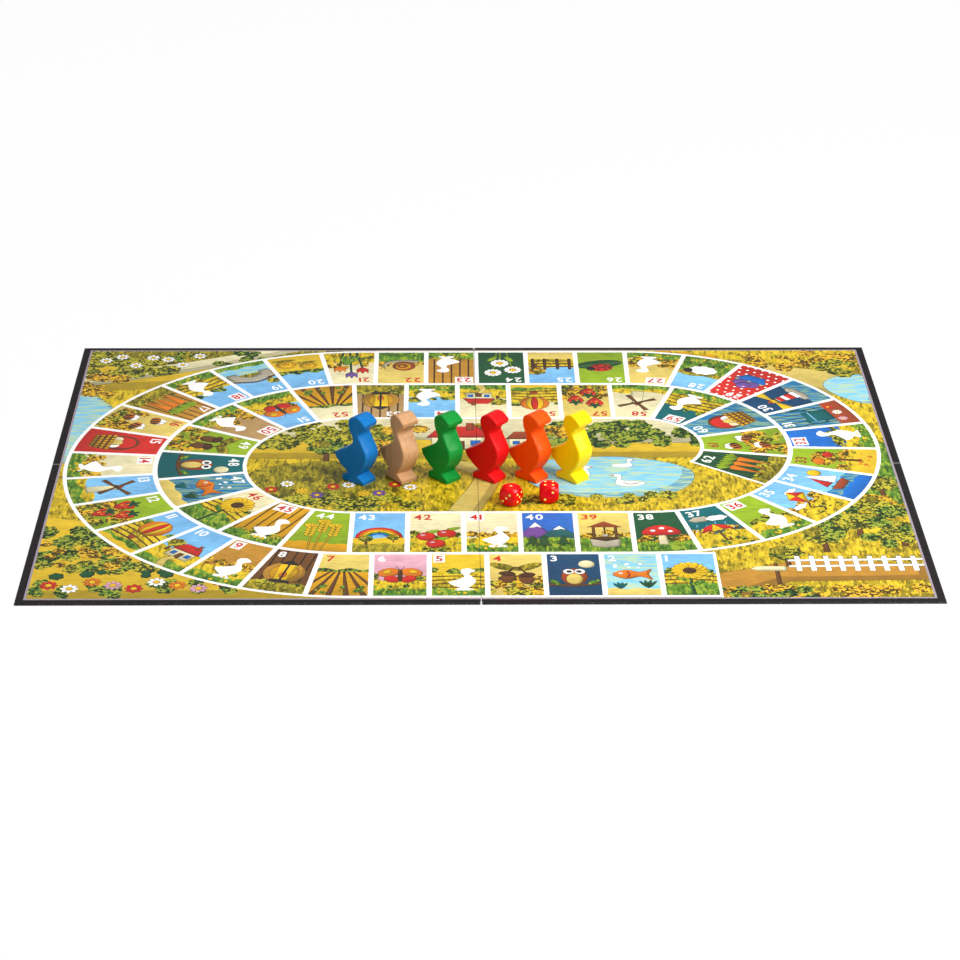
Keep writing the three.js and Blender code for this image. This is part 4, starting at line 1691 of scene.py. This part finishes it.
@dataclass
class HingeCloth:
    """Woven strip glued across one fold."""

    node: str
    bodies: tuple[str, str]
    axis: int
    rests_on: tuple[str, ...]
    rows_across: int = 33
    rows_along: int = 41

    def build(self) -> Piece:
        """Lays a closed strip with its rows crowded at the fold: offsets are u |u| times half the width.

        Returns:
            The strip.
        """
        low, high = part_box(self.node)
        across = 1 - self.axis
        u = np.linspace(-1, 1, self.rows_across)
        offsets = (low[across] + high[across]) / 2 + u * np.abs(u) * (high[across] - low[across]) / 2
        along = np.linspace(low[self.axis], high[self.axis], self.rows_along)
        grid = np.stack(np.meshgrid(along, offsets, indexing="ij"), -1).reshape(-1, 2)
        faces = grid_faces(len(along), len(offsets))
        if self.axis == 0:
            plan, faces = grid, faces[:, ::-1]
        else:
            plan = grid[:, ::-1]
        points, groups = slab(plan, faces, low.z, high.z)
        # The same grid below in place of one face, so that the strip bends as one
        count = len(plan)
        rim = groups[1][:, 3]
        beside = np.roll(rim, -1)
        wall = np.stack([rim + count, beside + count, beside, rim], -1)
        points = np.vstack([points[:count], points[:count] * (1, 1, 0) + (0, 0, low.z)])
        name = self.node.replace("hinge_cloth", "cloth")
        piece = mesh_object(name, points, faces, wall, faces[:, ::-1] + count, sharp=30)
        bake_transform(piece)
        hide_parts(self.node)
        return piece


@dataclass
class Goose:
    """A flat goose sawn from a plank, with sanded edges."""

    colour: str
    heading: float
    thickness: float = 13 * MM
    sanding: float = 1.2 * MM
    flat_rim: float = 0.35 * MM
    sole_height: float = 0.05 * MM

    @staticmethod
    def silhouette() -> Array:
        """Traces the goose; straight runs and Catmull-Rom curves alternate, as in the solid.

        Returns:
            Outline in millimetres, right of the middle of the foot and above the sole, anticlockwise.
        """
        toe, steps = 9.0, 9
        foot = ((-18.1, 3.7), (-18, 0), (-toe, 0), (0, 0), (0.4, 2.5))
        front = ((-5, 5.9), (0.4, 13.5), (2.6, 22.1), (-1.8, 30.7), (-3.8, 34.9), (-1.9, 38.9))
        bill = ((1.6, 40.7),)
        back = (
            (2.3, 43.2), (-1.8, 46.2), (-6, 47.5), (-11.6, 44.5),
            (-11.8, 38.3), (-8.8, 30.8), (-12.1, 25.5), (-24.5, 17.9),
        )
        tail = ((-23.4, 14.7), (-17.8, 9.5), (-12.5, 6.3))
        front, back, tail = (catmull(np.array(run), steps) for run in (front, back, tail))
        return np.vstack([foot, front, bill, back, tail]) + (toe, 0)

    def build(self) -> Piece:
        """Carries the outline through the plank's thickness with rounded edges.

        Row k is the outline moved in by i at depth y: on the bends i = r (1 - sin t), y = r (1 - cos t).

        Returns:
            The goose, in its place on the board.
        """
        node = f"goose_{self.colour}"
        low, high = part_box(node)
        outline = self.silhouette() * MM
        outline[:, 1] *= (high.z - low.z) / outline[:, 1].max()
        r = self.sanding
        depth = np.concatenate([[0], r * (1 - np.cos(QUARTER))]) - self.thickness / 2
        moved = np.concatenate([[r + self.flat_rim], r * (1 - np.sin(QUARTER))])
        depth, moved = np.concatenate([depth, -depth[::-1]]), np.concatenate([moved, moved[::-1]])
        rings = inset(outline, moved)
        deep = np.broadcast_to(depth[:, None], rings.shape[:2])
        local = np.stack([rings[..., 0], deep, rings[..., 1]], -1).reshape(-1, 3)
        count = len(outline)
        faces = grid_faces(len(depth), count, wrap=True)
        caps = np.stack([np.arange(count), np.arange(count)[::-1] + (len(depth) - 1) * count])
        sole = np.array([vertex.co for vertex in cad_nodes()[node].data.vertices])
        sole = sole[sole[:, 2] < sole[:, 2].min() + self.sole_height]
        placed = local @ turned(self.heading) + (sole.min(0) + sole.max(0)) / 2
        piece = mesh_object(f"pawn_{self.colour}", placed, faces[:, ::-1], caps, sharp=38)
        attribute(piece, "wood", "POINT", local)
        # Mask of the sanded bends, where the paint is painted lighter: partly wear, partly a painted
        # highlight
        bend = (moved < r * 0.9) & (np.abs(depth) > self.thickness / 2 - r * 1.05)
        attribute(piece, "edge", "POINT", np.repeat(bend, count))
        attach(piece, f"{self.colour}_goose")
        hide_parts(node)
        return piece


@dataclass
class Die:
    """A tumbled die with drilled pips."""

    side: str
    turn: float
    top: int
    front: int
    right: int
    corner_cut: float = 3.0 * MM
    softness: float = 0.8 * MM
    pip: float = 0.85 * MM
    pip_depth: float = 0.4 * MM
    pitch: float = 2.5 * MM
    cells: int = 60
    crowding: float = 0.72
    weld: float = 0.002 * MM

    def build(self) -> Piece:
        """Wraps six grids round a tumbled cube and sinks the pips.

        A point q of the cube moves in to the ball of radius R that the corners are worn to: it becomes
        q s / |q|, with s the smaller of |q| and R, blended over the softness. The cap of a ball under each
        pip is then taken off along the face. The lines of the grids crowd towards the edges by a sine.

        Returns:
            The die, in its place on the board.
        """
        low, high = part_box(f"die_{self.side}")
        half = (high.z - low.z) / 2
        lines = self.cells + 1
        steepest = math.pi / 2 * self.crowding
        line = np.sin(np.linspace(-1, 1, lines) * np.pi / 2 * self.crowding) / math.sin(steepest)
        u, v = (part.ravel() * half for part in np.meshgrid(line, line, indexing="ij"))
        ball = (self.pip**2 + self.pip_depth**2) / (2 * self.pip_depth)
        worn = half * math.sqrt(3) - self.corner_cut
        blocks, pips = [], []
        for count, normal, across in self._sides():
            up = np.cross(normal, across)
            cube = u[:, None] * across + v[:, None] * up + half * normal
            away = np.linalg.norm(cube, axis=1, keepdims=True)
            blend = np.maximum(self.softness - np.abs(away - worn), 0) ** 2 / (4 * self.softness)
            skin = cube * (np.minimum(away, worn) - blend) / away
            flat = np.column_stack([skin @ across, skin @ up])
            spots = np.array(self._spots(count)) * self.pitch
            reach = np.linalg.norm(flat[:, None] - spots[None], axis=2).min(1)
            sunk = np.sqrt(np.maximum(ball**2 - reach**2, 0)) - (ball - self.pip_depth)
            blocks.append(skin - np.maximum(sunk, 0)[:, None] * normal)
            pips.append((self.pip - reach) / MM)
        points = np.vstack(blocks)
        faces = np.vstack([grid_faces(lines, lines) + k * lines**2 for k in range(len(blocks))])[:, ::-1]
        # Join the rims that the six grids share
        near = np.round(points / self.weld).astype(np.int64)
        _, first, renumber = np.unique(near, axis=0, return_index=True, return_inverse=True)
        middle = np.array((low + high) / 2)
        points, faces = points[first] @ turned(self.turn) + middle, renumber.ravel()[faces]
        piece = mesh_object(f"cube_{self.side}", points, faces, sharp=60)
        attribute(piece, "pip", "POINT", np.concatenate(pips)[first])
        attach(piece, f"{self.side}_die")
        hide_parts(f"die_{self.side}")
        return piece

    def _sides(self) -> list[tuple[int, Array, Array]]:
        """Names the six faces; opposite ones add up to seven.

        Returns:
            Pips, outward direction and direction across of each face.
        """
        x, y, z = np.eye(3)
        seen = ((self.top, z, x), (self.front, -y, x), (self.right, x, y))
        pairs = (((count, out, across), (7 - count, -out, -across)) for count, out, across in seen)
        return [face for pair in pairs for face in pair]

    @staticmethod
    def _spots(count: int) -> list[tuple[int, int]]:
        """Returns the places of the pips in steps of the pitch: a middle one where odd, and pairs."""
        pairs = [(1, 1), (-1, -1), (-1, 1), (1, -1), (-1, 0), (1, 0)]
        return ([(0, 0)] if count % 2 else []) + pairs[: count - count % 2]


# Finishes


class Finish:
    """A material of one principled shader."""

    def make(self, name: str, groups: SharedGroups) -> bpy.types.Material:
        """Builds the material.

        Args:
            name: name of the finish.
            groups: shared node groups.

        Returns:
            The material.
        """
        made, graph, shader = material(name)
        graph.feed(shader, self.look(graph, groups))
        return made

    def look(self, graph: Graph, groups: SharedGroups) -> Inputs:
        """Returns the shader's inputs."""
        raise NotImplementedError


@dataclass(frozen=True)
class PaintFinish(Finish):
    """Stained or lacquered wood."""

    colour: Colour
    roughness: float = 0.42
    coat: float = 0.13
    bare: bool = False

    def look(self, graph: Graph, groups: SharedGroups) -> Inputs:
        """Grain shows through the paint; the sanded edges are painted lighter, partly as wear and partly as a
        painted highlight along them.
        """
        wood = graph.read("wood", "Vector")
        grain = groups.use(graph, GroupKind.GRAIN, wood)
        handling = groups.use(graph, GroupKind.HANDLING, wood)
        head = np.array(self.colour)
        depth, lines, pores = (0.62, 0.75, 0.5) if self.bare else (0.8, 0.4, 0.16)
        deep = plain(head * depth)
        colour = graph.mix(graph.scaled(grain["Lines"], lines), self.colour, deep)
        colour = graph.mix(graph.scaled(grain["Drift"], 0.5), colour, plain(head * 1.12 + 0.002))
        colour = graph.mix(graph.scaled(grain["Pores"], pores), colour, deep)
        # Lighter tint on the sanded edges: partly paint wear, partly a painted highlight standing in for the
        # sheen along them
        worn = graph.scaled(graph.read("edge"), graph.ramp(handling["Wear"], 0.0, 1.0, 0.12, 0.42))
        relief = graph.math("SUBTRACT", grain["Lines"], grain["Pores"])
        return {
            "Base Color": graph.mix(worn, colour, plain(head * 1.1 + 0.03)),
            "Roughness": graph.raised(handling["Smudge"], 0.1, self.roughness - 0.04),
            "Specular IOR Level": 0.08,
            "Coat Weight": self.coat,
            "Coat Roughness": 0.16,
            "Normal": bump(graph, relief, 0.05 * MM, 0.35),
        }


@dataclass(frozen=True)
class PrintFinish(Finish):
    """Varnished print on paper."""

    roughness: float = 0.36

    def look(self, graph: Graph, groups: SharedGroups) -> Inputs:
        """The inks that the sheet carries, with the touches that each is laid on with."""
        place = graph.place()
        brush = groups.use(graph, GroupKind.BRUSHWORK, place)
        smudge = groups.use(graph, GroupKind.HANDLING, place)["Smudge"]
        leaves, grass, streaks = graph.parts(graph.read("touch", "Vector"))
        ripples, wash, _ = graph.parts(graph.read("wash", "Vector"))
        colour, dark, light = (graph.read(tone, "Color") for tone in ("ink", "dark", "light"))
        for share, mask, weight, tone in (
            (wash, "Wash", 0.4, dark),
            (streaks, "Streaks", 0.5, dark),
            (leaves, "Light dabs", 0.9, light),
            (leaves, "Dark dabs", 0.95, dark),
            (grass, "Light strokes", 0.7, light),
            (grass, "Dark strokes", 0.8, dark),
            (ripples, "Ripples", 1.0, light),
        ):
            colour = graph.mix(graph.scaled(share, graph.scaled(brush[mask], weight)), colour, tone)
        rough = graph.raised(smudge, 0.12, self.roughness)
        return {"Base Color": colour, "Roughness": rough, "Specular IOR Level": 0.4}


@dataclass(frozen=True)
class LinenFinish(Finish):
    """Linen-grained paper or woven cloth."""

    colour: Colour
    fleck: Colour
    relief: float = 0.05 * MM
    roughness: float = 0.56
    edged: bool = True
    rubbed: Colour = srgb(150, 146, 140)

    def look(self, graph: Graph, groups: SharedGroups) -> Inputs:
        """Crossed ribs, and paper rubbed pale along its edges and creases."""
        place = graph.place()
        weave = groups.use(graph, GroupKind.WEAVE, place)
        handling = groups.use(graph, GroupKind.HANDLING, place)
        colour = graph.mix(graph.scaled(weave["Fleck"], 0.7), self.colour, self.fleck)
        colour = graph.mix(graph.scaled(handling["Smudge"], 0.25), colour, self.fleck)
        if self.edged:
            edge = graph.scaled(graph.read("edge"), graph.scaled(handling["Wear"], 0.16))
            worn = graph.math("MAXIMUM", edge, graph.scaled(graph.read("crease"), 0.6))
            colour = graph.mix(worn, colour, self.rubbed)
        return {
            "Base Color": colour,
            "Roughness": graph.raised(handling["Smudge"], 0.1, self.roughness),
            "Specular IOR Level": 0.25,
            "Normal": bump(graph, weave["Height"], self.relief, 0.8),
        }


@dataclass(frozen=True)
class BoardFinish(Finish):
    """Raw grey board."""

    colour: Colour
    fibre: Colour
    roughness: float = 0.92

    def look(self, graph: Graph, groups: SharedGroups) -> Inputs:
        """Pressed layers and paper fibres."""
        place = graph.place()
        layers = graph.noise(graph.stretched(place, (60, 60, 5200)), 1.0, 3.0)
        wear = groups.use(graph, GroupKind.HANDLING, place)["Wear"]
        colour = graph.mix(graph.ramp(layers, 0.35, 0.68), self.colour, self.fibre)
        return {
            "Base Color": graph.mix(graph.scaled(wear, 0.3), colour, self.fibre),
            "Roughness": self.roughness,
            "Normal": bump(graph, layers, 0.05 * MM, 0.5),
        }


@dataclass(frozen=True)
class PlasticFinish(Finish):
    """Moulded dice plastic with paint in the pips."""

    colour: Colour
    pip: Colour
    roughness: float = 0.16

    def look(self, graph: Graph, groups: SharedGroups) -> Inputs:
        """Paint where the pip attribute, the millimetres inside a pip's rim, is above zero."""
        smudge = groups.use(graph, GroupKind.HANDLING, graph.place())["Smudge"]
        inside = graph.ramp(graph.read("pip"), -0.02, 0.06)
        return {
            "Base Color": graph.mix(inside, self.colour, self.pip),
            "Roughness": graph.raised(inside, 0.3, graph.raised(smudge, 0.08, self.roughness)),
            "Specular IOR Level": 0.22,
        }


# Studio


@dataclass
class Studio:
    """White table, soft boxes and the camera of the photo.

    Powers are in watts. The table glows for the camera beside the area that the board covers.
    """

    key: float = 34.0
    fill: float = 5.5
    top: float = 7.0
    sheen: float = 9.0
    world: float = 0.3
    covered: tuple[float, float] = (0.275, 0.19)
    glow: float = 0.95
    floor_half: float = 6.0
    floor_drop: float = 0.06 * MM

    def build(self) -> None:
        """Sets up the floor, the lights, the world and the camera."""
        self._floor()
        self._lights()
        self._world()
        self._camera()
        bpy.context.scene.view_settings.view_transform = "Standard"

    def _floor(self) -> None:
        """Lays the table, which can't be seen from below."""
        half = self.floor_half
        corners = np.column_stack([rectangle(-half, -half, half, half), np.full(4, -self.floor_drop)])
        floor = mesh_object("floor", corners, np.array([[0, 1, 2, 3]]))
        made, graph, shader = material("white_table")
        graph.feed(shader, {"Base Color": (0.86, 0.86, 0.86), "Roughness": 0.9, "Specular IOR Level": 0.0})
        glow = graph.node("ShaderNodeEmission", {"Color": (1.0, 1.0, 1.0), "Strength": 1.0})
        beside, before = (
            graph.math("GREATER_THAN", graph.math("ABSOLUTE", part), limit)
            for part, limit in zip(graph.parts(graph.place()), self.covered)
        )
        bare = graph.scaled(graph.math("MAXIMUM", beside, before), self.glow)
        seen = graph.scaled(graph.node("ShaderNodeLightPath").outputs["Is Camera Ray"], bare)
        lit = graph.node("ShaderNodeMixShader", {0: seen, 1: shader.outputs[0], 2: glow.outputs[0]})
        behind = graph.node("ShaderNodeNewGeometry").outputs["Backfacing"]
        clear = graph.node("ShaderNodeBsdfTransparent")
        shown = graph.node("ShaderNodeMixShader", {0: behind, 1: lit.outputs[0], 2: clear.outputs[0]})
        output = next(node for node in graph.tree.nodes if node.type == "OUTPUT_MATERIAL")
        graph.feed(output, {"Surface": shown.outputs[0]})
        floor.data.materials.append(made)

    def _lights(self) -> None:
        """Hangs soft boxes that face the middle of the board; the sheen only shows in reflections."""
        for name, place, size, power in (
            ("key", (0.95, -0.55, 1.15), 0.9, self.key),
            ("fill", (-0.7, -1.5, 0.9), 1.2, self.fill),
            ("top", (0.0, 0.5, 1.6), 1.4, self.top),
            ("sheen", (1.6, -0.25, 0.52), 0.55, self.sheen),
        ):
            data = bpy.data.lights.new(name, "AREA")
            data.size = size
            data.energy = power
            lamp = bpy.data.objects.new(name, data)
            lamp.location = place
            lamp.rotation_euler = (-Vector(place)).to_track_quat("-Z", "Y").to_euler()
            lamp.visible_diffuse = name != "sheen"
            bpy.context.scene.collection.objects.link(lamp)

    def _world(self) -> None:
        """Surrounds the scene with dim light that the camera sees as white."""
        world = bpy.data.worlds.new("studio")
        world.use_nodes = True
        graph = Graph(world.node_tree)
        seen = graph.node("ShaderNodeLightPath").outputs["Is Camera Ray"]
        strength = graph.ramp(seen, 0.0, 1.0, self.world, 1.0)
        sky = graph.node("ShaderNodeBackground", {"Color": (1.0, 1.0, 1.0), "Strength": strength})
        graph.node("ShaderNodeOutputWorld", {"Surface": sky.outputs[0]})
        bpy.context.scene.world = world

    @staticmethod
    def _camera() -> None:
        """Sets the camera up from its pitch downwards, its yaw and its roll."""
        pitch, yaw, roll = CAMERA_PITCH, CAMERA_YAW, CAMERA_ROLL
        right = Vector((math.cos(yaw), math.sin(yaw), 0))
        ahead = Vector((-math.sin(yaw) * math.cos(pitch), math.cos(yaw) * math.cos(pitch), -math.sin(pitch)))
        down = ahead.cross(right)
        across = math.cos(roll) * right + math.sin(roll) * down
        below = -math.sin(roll) * right + math.cos(roll) * down
        data = bpy.data.cameras.new("camera")
        data.lens = LENS
        data.sensor_width = SENSOR
        data.clip_start, data.clip_end = 0.05, 30.0
        camera = bpy.data.objects.new("camera", data)
        turn = Matrix((across, -below, -ahead)).transposed().to_4x4()
        camera.matrix_world = Matrix.Translation(CAMERA_PLACE) @ turn
        bpy.context.scene.collection.objects.link(camera)
        bpy.context.scene.camera = camera


# Assembly


@dataclass
class GooseBoard:
    """The whole set: board, geese and dice."""

    groups: SharedGroups = field(default_factory=SharedGroups)

    def build(self) -> None:
        """Builds every piece and dresses it."""
        self._prints()
        self._panels()
        self._cloths()
        self._geese()
        self._dice()

    def _dress(self, finish: Finish, name: str, pieces: Sequence[Piece]) -> None:
        """Makes a finish under a name and gives it to pieces."""
        made = finish.make(name, self.groups)
        for piece in pieces:
            piece.data.materials.clear()
            piece.data.materials.append(made)

    def _prints(self) -> None:
        """Paints the artwork, divides it at the middle line and the cross fold, and makes the two sheets."""
        canvas = Artwork().paint()
        folds = np.linspace(-FOLD_REACH, FOLD_REACH, FOLD_ROWS)
        wide, deep = HALF_WIDTH + OVERRUN, HALF_DEPTH + OVERRUN
        cuts = [((-wide, y / MM), (wide, y / MM)) for y in folds]
        gap = canvas.add(rectangle(-MIDDLE_GAP, -deep, MIDDLE_GAP, deep), PAPER)
        vertices, triangles, top = canvas.partition(np.array(cuts))
        top[top == gap] = NOWHERE
        LOG.info("print: %d shapes, %d triangles", len(canvas.polygons), len(triangles))
        labels = [Label(side, sign, canvas, vertices, triangles, top, folds).build() for side, sign in SIDES]
        self._dress(PrintFinish(), "printed_paper", labels)

    def _panels(self) -> None:
        """Wraps the four panels and dresses their cores."""
        wraps = [Wrap(f"{row}_{side}", sx, sy, sy < 0).build() for row, sy in ROWS for side, sx in SIDES]
        self._dress(LinenFinish(srgb(18, 13, 15), srgb(36, 29, 32)), "linen_paper", wraps)
        cores = [node for name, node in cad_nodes().items() if name.startswith("core_")]
        self._dress(BoardFinish(srgb(148, 142, 132), srgb(108, 102, 94)), "grey_board", cores)

    def _cloths(self) -> None:
        """Glues a cloth across each side of the cross fold and one along the spine."""
        ends = {side: (f"back_{side}", f"front_{side}", 0) for side, _ in SIDES}
        ends["spine"] = ("back_left", "back_right", 1)
        cloths = [
            HingeCloth(f"hinge_cloth_{name}", (f"{a}_panel", f"{b}_panel"), axis, (f"core_{a}", f"core_{b}"))
            for name, (a, b, axis) in ends.items()
        ]
        finish = LinenFinish(srgb(34, 33, 37), srgb(70, 68, 72), 0.08 * MM, 0.85, False)
        self._dress(finish, "hinge_cloth", [cloth.build() for cloth in cloths])

    def _geese(self) -> None:
        """Sets out the six geese, each with its paint and the turn that it stands at."""
        paints = {
            "blue": (PaintFinish(srgb(0, 104, 172)), -39),
            "natural": (PaintFinish(srgb(192, 145, 102), 0.5, 0.12, True), -53),
            "green": (PaintFinish(srgb(0, 132, 46)), -47),
            "red": (PaintFinish(srgb(216, 6, 12)), -38),
            "orange": (PaintFinish(srgb(240, 77, 0)), -42),
            "yellow": (PaintFinish(srgb(255, 214, 0)), -45),
        }
        for colour, (paint, heading) in paints.items():
            name = "bare_wood" if colour == "natural" else f"{colour}_wood"
            self._dress(paint, name, [Goose(colour, heading).build()])

    def _dice(self) -> None:
        """Sets out the two dice."""
        dice = [Die("left", -31, 1, 3, 5).build(), Die("right", -2, 4, 2, 1).build()]
        self._dress(PlasticFinish(srgb(216, 0, 4), srgb(232, 222, 110)), "red_plastic", dice)


def main() -> None:
    """Loads the frame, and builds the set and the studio."""
    logging.basicConfig(level=logging.INFO, format="%(message)s")
    FRAME.update(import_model())
    GooseBoard().build()
    Studio().build()


if __name__ == "__main__":
    main()
